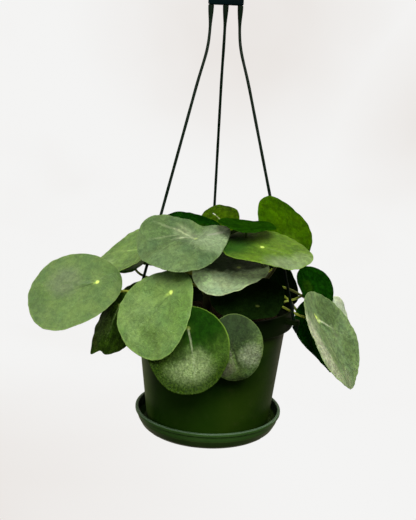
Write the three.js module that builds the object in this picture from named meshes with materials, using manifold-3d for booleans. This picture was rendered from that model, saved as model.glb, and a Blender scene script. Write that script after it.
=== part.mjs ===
// A trailing house plant with round leaves, in a round hanging pot with a drip saucer.
// Units are millimetres, +Z is up and -Y is the front. Everything is first laid out
// from the middle of the pot's rim, and the whole group is then lowered so that the
// origin is the point where the hook bears on whatever it hangs from.

import * as THREE from 'three';
import { mergeVertices } from 'three/addons/utils/BufferGeometryUtils.js';
import Module from 'manifold-3d';

const wasm = await Module();
wasm.setup();

// Driving dimensions of the pot, heights measured from the top of its rim.
const RIM_RADIUS = 76;
const RIM_BAND_HEIGHT = 17.5;
const RIM_BAND_STEP = 7;
const POT_WALL = 1.8;
const POT_BASE_RADIUS = 58;
const POT_HEIGHT = 118;
const RIM_WALL = 2.4;
const EDGE_ROUND = 0.8;
const BASE_ROUND = 2;
const SHOULDER_TOP = 5;
const SHOULDER_FOOT = 1.5;
const DRAIN_HOLES = 6;
const DRAIN_HOLE_RADIUS = 4;
const DRAIN_RING_RADIUS = 36;
const ROUND_SEGMENTS = 40;
const DRILL_SIDES = 12;

// Driving dimensions of the saucer.
const SAUCER_LIP_RADIUS = 69;
const SAUCER_BASE_RADIUS = 59.5;
const SAUCER_HEIGHT = 17.5;
const SAUCER_WALL = 1.8;
const SAUCER_SIDE = [[0, 0], [3.6, 3], [6.9, 9], [7.9, 14.5]];
const SAUCER_LIP_WIDTH = 2.8;
const SAUCER_LIP_HEIGHT = 3;
const TAB_HEIGHT = 9.3;
const TAB_WIDTH = 7;
const TAB_THICKNESS = 1.6;
const TAB_RADIUS = 60.2;
const TAB_AZIMUTHS = [40, 140, 220, 320];

// Driving dimensions of the soil and the stems.
const SOIL_DROP = 13;
const SOIL_DOME = 5;
const STEM_SOIL_DEPTH = 38;
const STEM_SWELLING = 0.04;
const STEM_SWELLINGS = 4;
const STEM_TAPER = 0.25;
const STEM_STEPS = 16;
const STEM_SIDES = 9;
const SOIL_RINGS = [1, 0.82, 0.62, 0.4, 0.2];
const SOIL_SEGMENTS = 32;
const CLEARANCE = 0.3;

// Driving dimensions of the hanger.
const LUG_RADIUS = 82;
const LUG_DROP = 5;
const LUG_THICKNESS = 4;
const LUG_WIDTH = 9;
const LUG_HOLE_RADIUS = 1.7;
const LUG_ROOT = 1.4;
const STRAND_AZIMUTHS = { strand_front_left: 212, strand_back: 92, strand_front_right: -27 };
const STRAND_APEX = 289;
const STRAND_TOP_SPACING = 12.7;
const STRAND_TOP_WIDTH = 5;
const STRAND_WIDTH = 2.6;
const STRAND_BEND_TOP = 256;
const STRAND_BEND_END = 190;
const BARB_LENGTH = 6;
const BARB_RADIUS = 3;
const BARB_TIP_RADIUS = 0.9;
const BARB_DROP = 1.2;
const STRAND_TAPER = 20;
const STRAND_STEPS = 22;
const STRAND_SIDES = 7;
const HUB_BOTTOM = 263.5;
const HUB_HEIGHT = 7;
const HUB_WIDTH = 30.6;
const HUB_THICKNESS = 4.4;
const HOOK_RADIUS = 11;
const HOOK_BAR = 5.2;
const HOOK_NECK = 16;
const HOOK_MOUTH = 195;
const HOOK_HEEL = -40;
const HUB_CORNER = 1;
const HUB_RISE = 2;

// Driving dimensions of the leaves.
const BLADE_THICKNESS = 0.9;
const BLADE_SEGMENTS = 18;
const BLADE_RINGS = [0.36, 0.7, 1];
const PETIOLE_BASE_RADIUS = 1.8;
const PETIOLE_TOP_RADIUS = 1.25;
const PETIOLE_GAP = 0.54;
const PETIOLE_SIDES = 5;
const PETIOLE_STEPS = 7;
const PETIOLE_START_PULL = 0.4;
const PETIOLE_END_PULL = 0.3;
const PETIOLE_NARROWED = 0.25;
const EDGE_RIPPLE = 0.8;
const RIPPLE_WAVES = 4;
const RIPPLE_STEP = 1.7;

const UP = new THREE.Vector3(0, 0, 1);
const ACROSS = new THREE.Vector3(1, 0, 0);
const radians = THREE.MathUtils.degToRad;

// Colour and roughness of each material.
const LOOKS = {
  pot: [0x1d3310, 0.45],
  saucer: [0x22401f, 0.4],
  hanger: [0x1d2f2c, 0.4],
  soil: [0x2d211a, 0.95],
  stem: [0x6d5638, 0.85],
  leaf: [0x5f8a45, 0.5],
};

const group = new THREE.Group();

function addPart(name, geometry, look) {
  const [color, roughness] = LOOKS[look];
  const material = new THREE.MeshStandardMaterial({ color, roughness, metalness: 0 });
  const mesh = new THREE.Mesh(geometry, material);
  mesh.name = name;
  group.add(mesh);
}

// A closed three.js geometry as a solid that can be joined and cut.
function solidOf(geometry) {
  const bare = geometry.clone();
  bare.deleteAttribute('normal');
  bare.deleteAttribute('uv');
  const merged = mergeVertices(bare, 1e-4);
  const mesh = new wasm.Mesh({
    numProp: 3,
    vertProperties: new Float32Array(merged.attributes.position.array),
    triVerts: new Uint32Array(merged.index.array),
  });
  return new wasm.Manifold(mesh);
}

function geometryOf(solid) {
  const mesh = solid.getMesh();
  const geometry = new THREE.BufferGeometry();
  geometry.setAttribute('position', new THREE.BufferAttribute(new Float32Array(mesh.vertProperties), 3));
  geometry.setIndex(new THREE.BufferAttribute(new Uint32Array(mesh.triVerts), 1));
  return geometry;
}

// A ring of points turned about Z, standing upright.
function turned(profile, segments) {
  const points = profile.map(([radius, height]) => new THREE.Vector2(radius, height));
  return new THREE.LatheGeometry(points, segments).rotateX(Math.PI / 2);
}

function cylinder(radius, bottom, top, x, y, sides) {
  const geometry = new THREE.CylinderGeometry(radius, radius, top - bottom, sides);
  return geometry.rotateX(Math.PI / 2).translate(x, y, (top + bottom) / 2);
}

function polar(radius, azimuth, height) {
  const angle = radians(azimuth);
  return new THREE.Vector3(radius * Math.cos(angle), radius * Math.sin(angle), height);
}

// A closed tube of changing radius along a curve. The section is laid across the curve
// from one fixed sideways direction, so that it doesn't spin as it goes.
function tube(curve, steps, sides, radiusAt, sideways) {
  const positions = [];
  const index = [];
  for (let step = 0; step <= steps; step += 1) {
    const centre = curve.getPoint(step / steps);
    const along = curve.getTangent(step / steps).normalize();
    const across = sideways.clone().addScaledVector(along, -sideways.dot(along)).normalize();
    const other = along.clone().cross(across);
    const radius = radiusAt(step / steps);
    for (let side = 0; side < sides; side += 1) {
      const angle = (2 * Math.PI * side) / sides;
      const point = centre.clone().addScaledVector(across, radius * Math.cos(angle));
      point.addScaledVector(other, radius * Math.sin(angle));
      positions.push(point.x, point.y, point.z);
    }
  }
  for (let step = 0; step < steps; step += 1) {
    for (let side = 0; side < sides; side += 1) {
      const a = step * sides + side;
      const b = step * sides + ((side + 1) % sides);
      index.push(a, b, b + sides, a, b + sides, a + sides);
    }
  }
  for (let side = 1; side < sides - 1; side += 1) {
    const end = steps * sides;
    index.push(0, side + 1, side);
    index.push(end, end + side, end + side + 1);
  }
  const geometry = new THREE.BufferGeometry();
  geometry.setAttribute('position', new THREE.Float32BufferAttribute(positions, 3));
  geometry.setIndex(index);
  return geometry;
}

// The pot's wall narrows from under the rim band to the base.
const POT_TOP_RADIUS = RIM_RADIUS - RIM_BAND_STEP;

function potRadiusAt(height) {
  const share = (height + POT_HEIGHT) / (POT_HEIGHT - RIM_BAND_HEIGHT);
  return POT_BASE_RADIUS + (POT_TOP_RADIUS - POT_BASE_RADIUS) * share;
}

function makePot() {
  const bandBottom = -RIM_BAND_HEIGHT;
  const shoulder = bandBottom + SHOULDER_FOOT;
  const floorTop = -POT_HEIGHT + POT_WALL;
  const innerBase = potRadiusAt(floorTop + BASE_ROUND) - POT_WALL;
  const profile = [
    [0, -POT_HEIGHT],
    [POT_BASE_RADIUS - BASE_ROUND, -POT_HEIGHT],
    [POT_BASE_RADIUS, -POT_HEIGHT + BASE_ROUND],
    [potRadiusAt(bandBottom), bandBottom],
    [RIM_RADIUS - 2 * EDGE_ROUND, bandBottom],
    [RIM_RADIUS - EDGE_ROUND, bandBottom + EDGE_ROUND],
    [RIM_RADIUS, -EDGE_ROUND],
    [RIM_RADIUS - EDGE_ROUND, 0],
    [RIM_RADIUS - RIM_WALL, 0],
    [RIM_RADIUS - RIM_WALL - EDGE_ROUND, -EDGE_ROUND],
    [RIM_RADIUS - RIM_WALL - EDGE_ROUND, bandBottom + SHOULDER_TOP],
    [potRadiusAt(shoulder) - POT_WALL, shoulder],
    [innerBase, floorTop + BASE_ROUND],
    [innerBase - BASE_ROUND, floorTop],
    [0, floorTop],
  ];
  let pot = solidOf(turned(profile, ROUND_SEGMENTS));
  for (let hole = 0; hole < DRAIN_HOLES; hole += 1) {
    const at = polar(DRAIN_RING_RADIUS, (360 * (hole + 0.25)) / DRAIN_HOLES, 0);
    const drill = cylinder(DRAIN_HOLE_RADIUS, -POT_HEIGHT - 1, floorTop + 1, at.x, at.y, DRILL_SIDES);
    pot = pot.subtract(solidOf(drill));
  }
  for (const azimuth of Object.values(STRAND_AZIMUTHS)) {
    pot = pot.add(solidOf(makeLug(azimuth)));
    const at = polar(LUG_RADIUS, azimuth, 0);
    const drill = cylinder(LUG_HOLE_RADIUS, -LUG_DROP - 2 * LUG_THICKNESS, 0, 0, 0, DRILL_SIDES);
    pot = pot.subtract(solidOf(drill.applyMatrix4(strandLean(azimuth)).translate(at.x, at.y, 0)));
  }
  addPart('pot', geometryOf(pot), 'pot');
}

// How a strand leans where it passes through its lug, about the middle of the lug.
function strandLean(azimuth) {
  const lean = Math.atan2(LUG_RADIUS, STRAND_APEX + LUG_DROP);
  const axis = polar(1, azimuth + 90, 0);
  const middle = -LUG_DROP - LUG_THICKNESS / 2;
  const turn = new THREE.Matrix4().makeRotationAxis(axis, -lean);
  const down = new THREE.Matrix4().makeTranslation(0, 0, -middle);
  const back = new THREE.Matrix4().makeTranslation(0, 0, middle);
  return back.multiply(turn).multiply(down);
}

function makeLug(azimuth) {
  const inner = RIM_RADIUS - LUG_ROOT;
  const shape = new THREE.Shape();
  shape.moveTo(inner, -LUG_WIDTH / 2);
  shape.lineTo(LUG_RADIUS, -LUG_WIDTH / 2);
  shape.absarc(LUG_RADIUS, 0, LUG_WIDTH / 2, -Math.PI / 2, Math.PI / 2, false);
  shape.lineTo(inner, LUG_WIDTH / 2);
  const settings = { depth: LUG_THICKNESS, bevelEnabled: false, curveSegments: 8 };
  const geometry = new THREE.ExtrudeGeometry(shape, settings);
  return geometry.translate(0, 0, -LUG_DROP - LUG_THICKNESS).rotateZ(radians(azimuth));
}

const SAUCER_BOTTOM = -POT_HEIGHT - CLEARANCE - SAUCER_WALL;

function makeSaucer() {
  const lipTop = SAUCER_BOTTOM + SAUCER_HEIGHT;
  const lipFoot = lipTop - SAUCER_LIP_HEIGHT;
  const lipInner = SAUCER_LIP_RADIUS - SAUCER_LIP_WIDTH;
  const floorTop = SAUCER_BOTTOM + SAUCER_WALL;
  const outer = SAUCER_SIDE.map(([out, up]) => [SAUCER_BASE_RADIUS + out, SAUCER_BOTTOM + up]);
  const inner = outer.slice(1, -1).map(([radius, height]) => [radius - SAUCER_WALL, height]);
  const profile = [
    [0, SAUCER_BOTTOM],
    ...outer,
    [SAUCER_LIP_RADIUS, lipFoot],
    [SAUCER_LIP_RADIUS, lipTop - EDGE_ROUND],
    [SAUCER_LIP_RADIUS - EDGE_ROUND, lipTop],
    [lipInner + EDGE_ROUND, lipTop],
    [lipInner, lipTop - EDGE_ROUND],
    ...inner.reverse(),
    [SAUCER_BASE_RADIUS - SAUCER_WALL, floorTop],
    [0, floorTop],
  ];
  let saucer = solidOf(turned(profile, ROUND_SEGMENTS));
  for (const azimuth of TAB_AZIMUTHS) {
    const tab = new THREE.BoxGeometry(TAB_THICKNESS, TAB_WIDTH, TAB_HEIGHT);
    const middle = SAUCER_BOTTOM + SAUCER_WALL / 2 + TAB_HEIGHT / 2;
    tab.translate(TAB_RADIUS, 0, middle).rotateZ(radians(azimuth));
    saucer = saucer.add(solidOf(tab));
  }
  addPart('saucer', geometryOf(saucer), 'saucer');
}

// The stems stand straight in the soil and lean a little above it.
const STEMS = {
  stem_main: { foot: [-4, 6], radius: 5.6, top: [-3, 4, 42] },
  stem_left: { foot: [-32, -10], radius: 4.2, top: [-38, -15, 22] },
  stem_right: { foot: [33, -8], radius: 4.2, top: [39, -10, 24] },
};

function soilTopAt(radius) {
  const share = radius / (RIM_RADIUS - RIM_BAND_STEP);
  return -SOIL_DROP + SOIL_DOME * (1 - share * share) - SOIL_DOME;
}

function stemCurve({ foot, top }) {
  const [x, y] = foot;
  const surface = soilTopAt(Math.hypot(x, y));
  return new THREE.CatmullRomCurve3([
    new THREE.Vector3(x, y, surface - STEM_SOIL_DEPTH),
    new THREE.Vector3(x, y, surface - STEM_SOIL_DEPTH / 2),
    new THREE.Vector3(x, y, surface + 2),
    new THREE.Vector3((x + top[0]) / 2, (y + top[1]) / 2, (surface + top[2]) / 2 + 2),
    new THREE.Vector3(...top),
  ]);
}

// A stem narrows toward its top, with slight swellings where old leaves have dropped.
function stemRadiusAt({ radius }, share) {
  const taper = 1 - STEM_TAPER * Math.max(0, 2 * share - 1);
  return radius * taper * (1 - STEM_SWELLING * Math.cos(2 * Math.PI * STEM_SWELLINGS * share));
}

function makeStem(name) {
  const radiusAt = (share) => stemRadiusAt(STEMS[name], share);
  const geometry = tube(stemCurve(STEMS[name]), STEM_STEPS, STEM_SIDES, radiusAt, ACROSS);
  addPart(name, geometry, 'stem');
}

// The soil fills the pot, and its top is gently humped and lumpy.
function makeSoil() {
  const wallGap = POT_WALL + CLEARANCE + 0.2;
  const edge = potRadiusAt(-SOIL_DROP - SOIL_DOME) - wallGap;
  const base = -POT_HEIGHT + POT_WALL + CLEARANCE;
  const rings = SOIL_RINGS.map((share) => edge * share);
  const profile = [
    [0, base],
    [POT_BASE_RADIUS - wallGap - 2.4, base],
    [POT_BASE_RADIUS - wallGap - 0.8, base + 3],
    ...rings.map((radius) => [radius, soilTopAt(radius)]),
    [0, soilTopAt(0)],
  ];
  const geometry = turned(profile, SOIL_SEGMENTS);
  const position = geometry.attributes.position;
  for (let i = 0; i < position.count; i += 1) {
    const x = position.getX(i);
    const y = position.getY(i);
    const radius = Math.hypot(x, y);
    if (position.getZ(i) > soilTopAt(radius) - 1 && radius < edge - 1) {
      const lump = Math.sin(x * 0.31 + 1) * Math.cos(y * 0.27) + 0.5 * Math.sin(x * 0.7 - y * 0.6);
      position.setZ(i, position.getZ(i) + lump * Math.min(1, radius / 8));
    }
  }
  let soil = solidOf(geometry);
  for (const { foot, radius } of Object.values(STEMS)) {
    const surface = soilTopAt(Math.hypot(...foot));
    const reach = radius * (1 + STEM_SWELLING) + 2 * CLEARANCE;
    const hole = cylinder(reach, surface - STEM_SOIL_DEPTH - CLEARANCE, 0, ...foot, 2 * STEM_SIDES);
    soil = soil.subtract(solidOf(hole));
  }
  addPart('soil', geometryOf(soil), 'soil');
}

// Each strand drops from the hub, bends outward and runs straight down to its lug.
const STRAND_OFFSETS = { strand_front_left: -1, strand_back: 0, strand_front_right: 1 };

function strandRadius(height) {
  return (LUG_RADIUS * (STRAND_APEX - height)) / (STRAND_APEX + LUG_DROP + LUG_THICKNESS / 2);
}

function makeStrand(name) {
  const azimuth = STRAND_AZIMUTHS[name];
  const side = STRAND_OFFSETS[name];
  const x = side * STRAND_TOP_SPACING;
  const onLine = (height) => polar(strandRadius(height), azimuth, height);
  const run = (STRAND_BEND_TOP - STRAND_BEND_END) / 2;
  const top = new THREE.Vector3(x, 0, HUB_BOTTOM - CLEARANCE);
  const bendTop = new THREE.Vector3(x, 0, STRAND_BEND_TOP);
  const bendEnd = onLine(STRAND_BEND_END);
  const foot = onLine(-LUG_DROP - LUG_THICKNESS - BARB_LENGTH);
  const path = new THREE.CurvePath();
  path.add(new THREE.LineCurve3(top, bendTop));
  const pull = new THREE.Vector3(x, 0, STRAND_BEND_TOP - run);
  path.add(new THREE.CubicBezierCurve3(bendTop, pull, onLine(STRAND_BEND_END + run), bendEnd));
  path.add(new THREE.LineCurve3(bendEnd, foot));
  const radiusAt = (share) => {
    const height = path.getPoint(share).z;
    const narrow = THREE.MathUtils.smoothstep(HUB_BOTTOM - height, 0, STRAND_TAPER);
    return (STRAND_TOP_WIDTH + (STRAND_WIDTH - STRAND_TOP_WIDTH) * narrow) / 2;
  };
  const rod = solidOf(tube(path, STRAND_STEPS, STRAND_SIDES, radiusAt, ACROSS));
  const barbTop = -LUG_DROP - LUG_THICKNESS - BARB_DROP;
  const barb = new THREE.LineCurve3(onLine(barbTop), onLine(barbTop - BARB_LENGTH));
  const cone = (share) => BARB_RADIUS + (BARB_TIP_RADIUS - BARB_RADIUS) * share;
  const joined = rod.add(solidOf(tube(barb, 2, STRAND_SIDES + 1, cone, ACROSS)));
  addPart(name, geometryOf(joined), 'hanger');
}

// The hub is a flat bar with rounded ends, a neck and an open hook, in one moulding.
const HOOK_CENTRE = HUB_BOTTOM + HUB_HEIGHT + HOOK_NECK + HOOK_RADIUS;
const HOOK_SEAT = HOOK_CENTRE + HOOK_RADIUS;

function makeHub() {
  const settings = { depth: HUB_THICKNESS, bevelEnabled: false, curveSegments: 12 };
  const upright = (shape) => {
    const geometry = new THREE.ExtrudeGeometry(shape, settings);
    return geometry.rotateX(Math.PI / 2).translate(0, HUB_THICKNESS / 2, 0);
  };
  const hub = solidOf(upright(barShape())).add(solidOf(upright(hookShape())));
  addPart('hanger_hub', geometryOf(hub), 'hanger');
}

function barShape() {
  const half = HUB_WIDTH / 2;
  const top = HUB_BOTTOM + HUB_HEIGHT;
  const neck = HOOK_BAR / 2;
  const neckTop = top + HOOK_NECK * 0.6;
  const bar = new THREE.Shape();
  bar.moveTo(-half + HUB_CORNER, HUB_BOTTOM);
  bar.lineTo(half - HUB_CORNER, HUB_BOTTOM);
  bar.absarc(half - HUB_CORNER, HUB_BOTTOM + HUB_CORNER, HUB_CORNER, -Math.PI / 2, 0, false);
  bar.lineTo(half, top - HUB_CORNER);
  bar.quadraticCurveTo(half, top + HUB_CORNER, half * 0.5, top + HUB_RISE);
  bar.quadraticCurveTo(2 * neck, top + HUB_RISE + 1, neck, neckTop);
  bar.lineTo(-neck, neckTop);
  bar.quadraticCurveTo(-2 * neck, top + HUB_RISE + 1, -half * 0.5, top + HUB_RISE);
  bar.quadraticCurveTo(-half, top + HUB_CORNER, -half, top - HUB_CORNER);
  bar.lineTo(-half, HUB_BOTTOM + HUB_CORNER);
  bar.absarc(-half + HUB_CORNER, HUB_BOTTOM + HUB_CORNER, HUB_CORNER, Math.PI, Math.PI * 1.5, false);
  return bar;
}

// The hook's ring starts beside the neck, runs over the top and ends at an open mouth.
function hookShape() {
  const neck = HOOK_BAR / 2;
  const outer = HOOK_RADIUS + HOOK_BAR;
  const mouth = radians(HOOK_MOUTH);
  const heel = polar(outer, HOOK_HEEL, 0);
  const tip = polar(HOOK_RADIUS + neck, HOOK_MOUTH, 0);
  const hook = new THREE.Shape();
  hook.moveTo(-neck, HUB_BOTTOM + HUB_HEIGHT);
  hook.lineTo(neck, HUB_BOTTOM + HUB_HEIGHT);
  hook.lineTo(neck, HOOK_CENTRE - outer);
  hook.quadraticCurveTo(neck + 1, HOOK_CENTRE - outer + 2, heel.x, HOOK_CENTRE + heel.y);
  hook.absarc(0, HOOK_CENTRE, outer, radians(HOOK_HEEL), mouth, false);
  hook.absarc(tip.x, HOOK_CENTRE + tip.y, neck, mouth, mouth + Math.PI, false);
  hook.absarc(0, HOOK_CENTRE, HOOK_RADIUS, mouth, radians(HOOK_HEEL - 20), true);
  hook.quadraticCurveTo(-neck + 1, HOOK_CENTRE - HOOK_RADIUS, -neck, HOOK_CENTRE - outer);
  return hook;
}

// Leaves. Each row gives where the petiole meets the blade, the blade's length, the way
// its upper face looks (facing 0 is the front, 90 the right; rise 90 is straight up),
// how far its tip is turned from straight down, width as a share of the length, how far
// the petiole sits from the middle, how much the tip end narrows, and how far the tip,
// base, left and right edges bend toward the upper face. The rest is the stem that the
// petiole leaves, the height and azimuth at which it leaves it, how high the petiole
// arches on its way, and how much it arrives from above rather than square to the blade.
const LEAVES = [
  // Outer left, at the front.
  { at: [-101, -45, 24], length: 86, look: [-13, 44], turn: 62, shape: [0.93, 0.51, 0.1],
    bend: [-5, -6, 5, -2], stem: ['stem_left', 8, 195], path: [6, 0] },
  // Left, behind the first.
  { at: [-69, 5, 44], length: 80, look: [-60, 55], turn: 70, shape: [0.94, 0.38, -0.05],
    bend: [-1, 4, 3, 1], stem: ['stem_main', 20, 175], path: [10, 0] },
  // Top left, large.
  { at: [-16, -74, 72], length: 79, look: [-8, 86], turn: 50, shape: [0.92, 0.23, 0.35],
    bend: [-14, 6.5, -12, 14], stem: ['stem_main', 34, 255], path: [12, 0] },
  // Front, left of the middle.
  { at: [-34, -104, 32], length: 76, look: [-32, 26], turn: 23, shape: [0.89, 0.5, 0.27],
    bend: [-3, -5, 2, 2], stem: ['stem_left', 14, 262], path: [12, 0] },
  // Front middle, hanging over the rim.
  { at: [-19, -98, 1], length: 73, look: [6, 30], turn: 0, shape: [0.93, 0.47, -0.05],
    bend: [-3, -1, 0, 1], stem: ['stem_left', 6, 300], path: [26, 0.5] },
  // Front, right of the middle, hanging low.
  { at: [20, -96, -15], length: 58, look: [6, 0], turn: -10, shape: [0.83, 0.1, -0.1],
    bend: [-10, -12, -6, -2], stem: ['stem_right', 2, 240], path: [12, 1.2] },
  // Under the top leaves.
  { at: [21, -50, 43], length: 70, look: [2, 72], turn: 38, shape: [0.9, 0.37, -0.05],
    bend: [-3, 0, 8, 4], stem: ['stem_main', 20, 290], path: [6, 0] },
  // Top right, level.
  { at: [38, -80, 67], length: 75, look: [24, 68], turn: -58, shape: [0.92, 0.14, -0.09],
    bend: [2, -7, -2, 5], stem: ['stem_right', 23, 285], path: [28, 0] },
  // Small, top middle.
  { at: [3, 20, 71.5], length: 42, look: [-9, 49], turn: 173, shape: [0.91, 0.28, -0.06],
    bend: [-6, 0, -3, 1], stem: ['stem_main', 38, 60], path: [12, 0] },
  // Top right, above the level one.
  { at: [25, -70, 83], length: 49, look: [4, 86.5], turn: 94, shape: [0.94, 0, 0.05],
    bend: [3, 0, 0, 0], stem: ['stem_main', 37, 310], path: [14, 0] },
  // Upright at the top right.
  { at: [63, -36, 72], length: 65, look: [32, 26], turn: 156, shape: [0.8, 0.18, -0.29],
    bend: [-3, -2, -6, -3], stem: ['stem_right', 20, 10], path: [22, 0] },
  // Top, behind the large left one.
  { at: [-18, -20, 73], length: 62, look: [-3, 72], turn: 143, shape: [0.91, 0.31, -0.05],
    bend: [-4, -1, 0, -7], stem: ['stem_main', 38, 220], path: [12, 0] },
  // Right, round the side.
  { at: [89, -5, 18], length: 48, look: [38, 33], turn: -89, shape: [0.9, 0.29, 0],
    bend: [-1, 5, -1, 0], stem: ['stem_right', -2, 8], path: [4, -1] },
  // Outer right, edge on to the front.
  { at: [92, -42, 0], length: 93, look: [69, 34], turn: -5, shape: [0.92, 0.51, 0.05],
    bend: [-2, 4, 12, 2], stem: ['stem_right', 5, 330], path: [5, 0.3] },
  // Right, in the shade behind the outer one.
  { at: [96, -1, -24], length: 77, look: [59, 25], turn: -50, shape: [0.9, 0.34, -0.06],
    bend: [-10, -6, 0, 6], stem: ['stem_right', 1, 24], path: [28, 1] },
  // Right, further round.
  { at: [119.5, 25, -13.5], length: 38, look: [45, 29], turn: -62, shape: [0.95, 0.24, 0],
    bend: [-6, 0, 2, 0], stem: ['stem_right', 12, 38], path: [14, 0.4] },
  // Left, drooping in the shade.
  { at: [-82, -38, 2], length: 58, look: [-41, 30], turn: -9, shape: [0.91, 0.6, 0.14],
    bend: [1, 2, 0, -5], stem: ['stem_left', 2, 220], path: [16, 0.4] },
  // Over the front of the rim, in the shade.
  { at: [38, -64, 13.4], length: 66, look: [6, 72], turn: 150, shape: [0.95, 0.46, 0],
    bend: [-6, 0, -3, 9], stem: ['stem_right', 9, 275], path: [2, 0] },
  // Small, left, seen from below.
  { at: [-77, 25, 28], length: 42, look: [-20, 80], turn: 4, shape: [0.91, 0.28, -0.07],
    bend: [-1, 0, 6, 1], stem: ['stem_main', 10, 155], path: [8, 0] },
  // Left side, under the outer ones.
  { at: [-92, 18, -12], length: 52, look: [-85, 26], turn: 10, shape: [0.92, 0.4, -0.05],
    bend: [-5, -2, -2, -2], stem: ['stem_left', 2, 165], path: [20, 0.6] },
  // Left, toward the back.
  { at: [-76, 66, -12], length: 70, look: [-130, 28], turn: -5, shape: [0.93, 0.42, -0.05],
    bend: [-6, -2, -1, -3], stem: ['stem_left', 12, 130], path: [22, 0.6] },
  // Back, left of the middle, low.
  { at: [-42, 98, -8], length: 80, look: [-160, 24], turn: 8, shape: [0.92, 0.45, -0.05],
    bend: [-5, -3, -3, -1], stem: ['stem_main', 2, 120], path: [34, 1] },
  // Back middle.
  { at: [10, 108, 13], length: 82, look: [178, 32], turn: -6, shape: [0.93, 0.4, -0.06],
    bend: [-8, -2, -2, -3], stem: ['stem_main', 10, 75], path: [20, 0.2] },
  // Back, right of the middle, low.
  { at: [40, 106, -28], length: 70, look: [158, 26], turn: 5, shape: [0.92, 0.44, -0.04],
    bend: [-6, -2, -1, -4], stem: ['stem_right', 2, 95], path: [34, 1] },
  // Back right.
  { at: [60, 70, 18], length: 62, look: [135, 30], turn: 12, shape: [0.91, 0.42, -0.05],
    bend: [-5, -2, -3, -1], stem: ['stem_right', 15, 85], path: [12, 0.2] },
  // Back, higher on the left.
  { at: [-42, 58, 42], length: 78, look: [-150, 62], turn: 10, shape: [0.94, 0.36, -0.05],
    bend: [-7, -3, -2, -3], stem: ['stem_main', 26, 130], path: [8, 0] },
  // Back, higher on the right.
  { at: [40, 60, 56], length: 70, look: [155, 60], turn: -12, shape: [0.92, 0.38, -0.06],
    bend: [-6, -2, -3, -2], stem: ['stem_main', 28, 50], path: [8, 0] },
  // Small, in the middle at the back.
  { at: [-26, 48, 66], length: 40, look: [-170, 66], turn: 20, shape: [0.92, 0.3, -0.05],
    bend: [-3, -1, 2, -2], stem: ['stem_main', 34, 140], path: [6, 0] },
];

function bladeAxes({ look, turn }) {
  const [facing, rise] = look.map(radians);
  const normal = new THREE.Vector3(
    Math.cos(rise) * Math.sin(facing),
    -Math.cos(rise) * Math.cos(facing),
    Math.sin(rise),
  );
  const down = new THREE.Vector3(
    Math.sin(rise) * Math.sin(facing),
    -Math.sin(rise) * Math.cos(facing),
    -Math.cos(rise),
  );
  const beside = down.clone().cross(normal);
  const tipward = down.multiplyScalar(Math.cos(radians(turn)));
  tipward.addScaledVector(beside, Math.sin(radians(turn)));
  return { normal, tipward, across: tipward.clone().cross(normal) };
}

// A point of the blade's middle surface, rho being the share of the way from the
// petiole to the edge, and angle 0 pointing to the tip.
function bladePoint(leaf, axes, rho, angle, phase) {
  const half = leaf.length / 2;
  const [aspect, offset, narrowing] = leaf.shape;
  const [tip, base, left, right] = leaf.bend;
  const reach = rho * half * (offset + Math.cos(angle));
  const side = rho * Math.sin(angle) * (1 + narrowing * Math.cos(angle));
  const end = reach > 0 ? reach / (half * (1 + offset)) : reach / (half * (1 - offset));
  const lengthwise = (reach > 0 ? tip : base) * end * end;
  const sidewise = (side > 0 ? right : left) * side * side;
  const ripple = EDGE_RIPPLE * rho ** 3 * Math.sin(RIPPLE_WAVES * angle + phase);
  const point = new THREE.Vector3(...leaf.at);
  point.addScaledVector(axes.tipward, reach);
  point.addScaledVector(axes.across, side * half * aspect);
  return point.addScaledVector(axes.normal, lengthwise + sidewise + ripple);
}

// The blade is one sheet of even thickness, split into the same triangles on both faces.
function makeBlade(leaf, axes, phase) {
  const middle = [new THREE.Vector3(...leaf.at)];
  for (const rho of BLADE_RINGS) {
    for (let i = 0; i < BLADE_SEGMENTS; i += 1) {
      middle.push(bladePoint(leaf, axes, rho, (2 * Math.PI * i) / BLADE_SEGMENTS, phase));
    }
  }
  const face = [];
  const at = (ring, i) => 1 + ring * BLADE_SEGMENTS + (i % BLADE_SEGMENTS);
  for (let i = 0; i < BLADE_SEGMENTS; i += 1) {
    face.push([0, at(0, i), at(0, i + 1)]);
    for (let ring = 1; ring < BLADE_RINGS.length; ring += 1) {
      face.push([at(ring - 1, i), at(ring, i), at(ring, i + 1)]);
      face.push([at(ring - 1, i), at(ring, i + 1), at(ring - 1, i + 1)]);
    }
  }
  const normals = middle.map(() => new THREE.Vector3());
  for (const [a, b, c] of face) {
    const one = middle[b].clone().sub(middle[a]);
    const two = middle[c].clone().sub(middle[a]);
    const area = one.cross(two);
    [a, b, c].forEach((corner) => normals[corner].add(area));
  }
  normals.forEach((normal) => normal.normalize());
  const count = middle.length;
  const positions = [];
  for (const sign of [0.5, -0.5]) {
    middle.forEach((point, i) => {
      const moved = point.clone().addScaledVector(normals[i], sign * BLADE_THICKNESS);
      positions.push(moved.x, moved.y, moved.z);
    });
  }
  const index = [];
  for (const [a, b, c] of face) {
    index.push(a, b, c, a + count, c + count, b + count);
  }
  const rim = BLADE_RINGS.length - 1;
  for (let i = 0; i < BLADE_SEGMENTS; i += 1) {
    const a = at(rim, i);
    const b = at(rim, i + 1);
    index.push(a, a + count, b, b, a + count, b + count);
  }
  const geometry = new THREE.BufferGeometry();
  geometry.setAttribute('position', new THREE.Float32BufferAttribute(positions, 3));
  geometry.setIndex(index);
  return { geometry, upper: normals[0] };
}

// The share of the way along a stem at which it reaches a height.
function stemShareAt(curve, height) {
  let low = 0.3;
  let high = 1;
  for (let i = 0; i < 24; i += 1) {
    const middle = (low + high) / 2;
    if (curve.getPoint(middle).z < height) low = middle;
    else high = middle;
  }
  return low;
}

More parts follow.
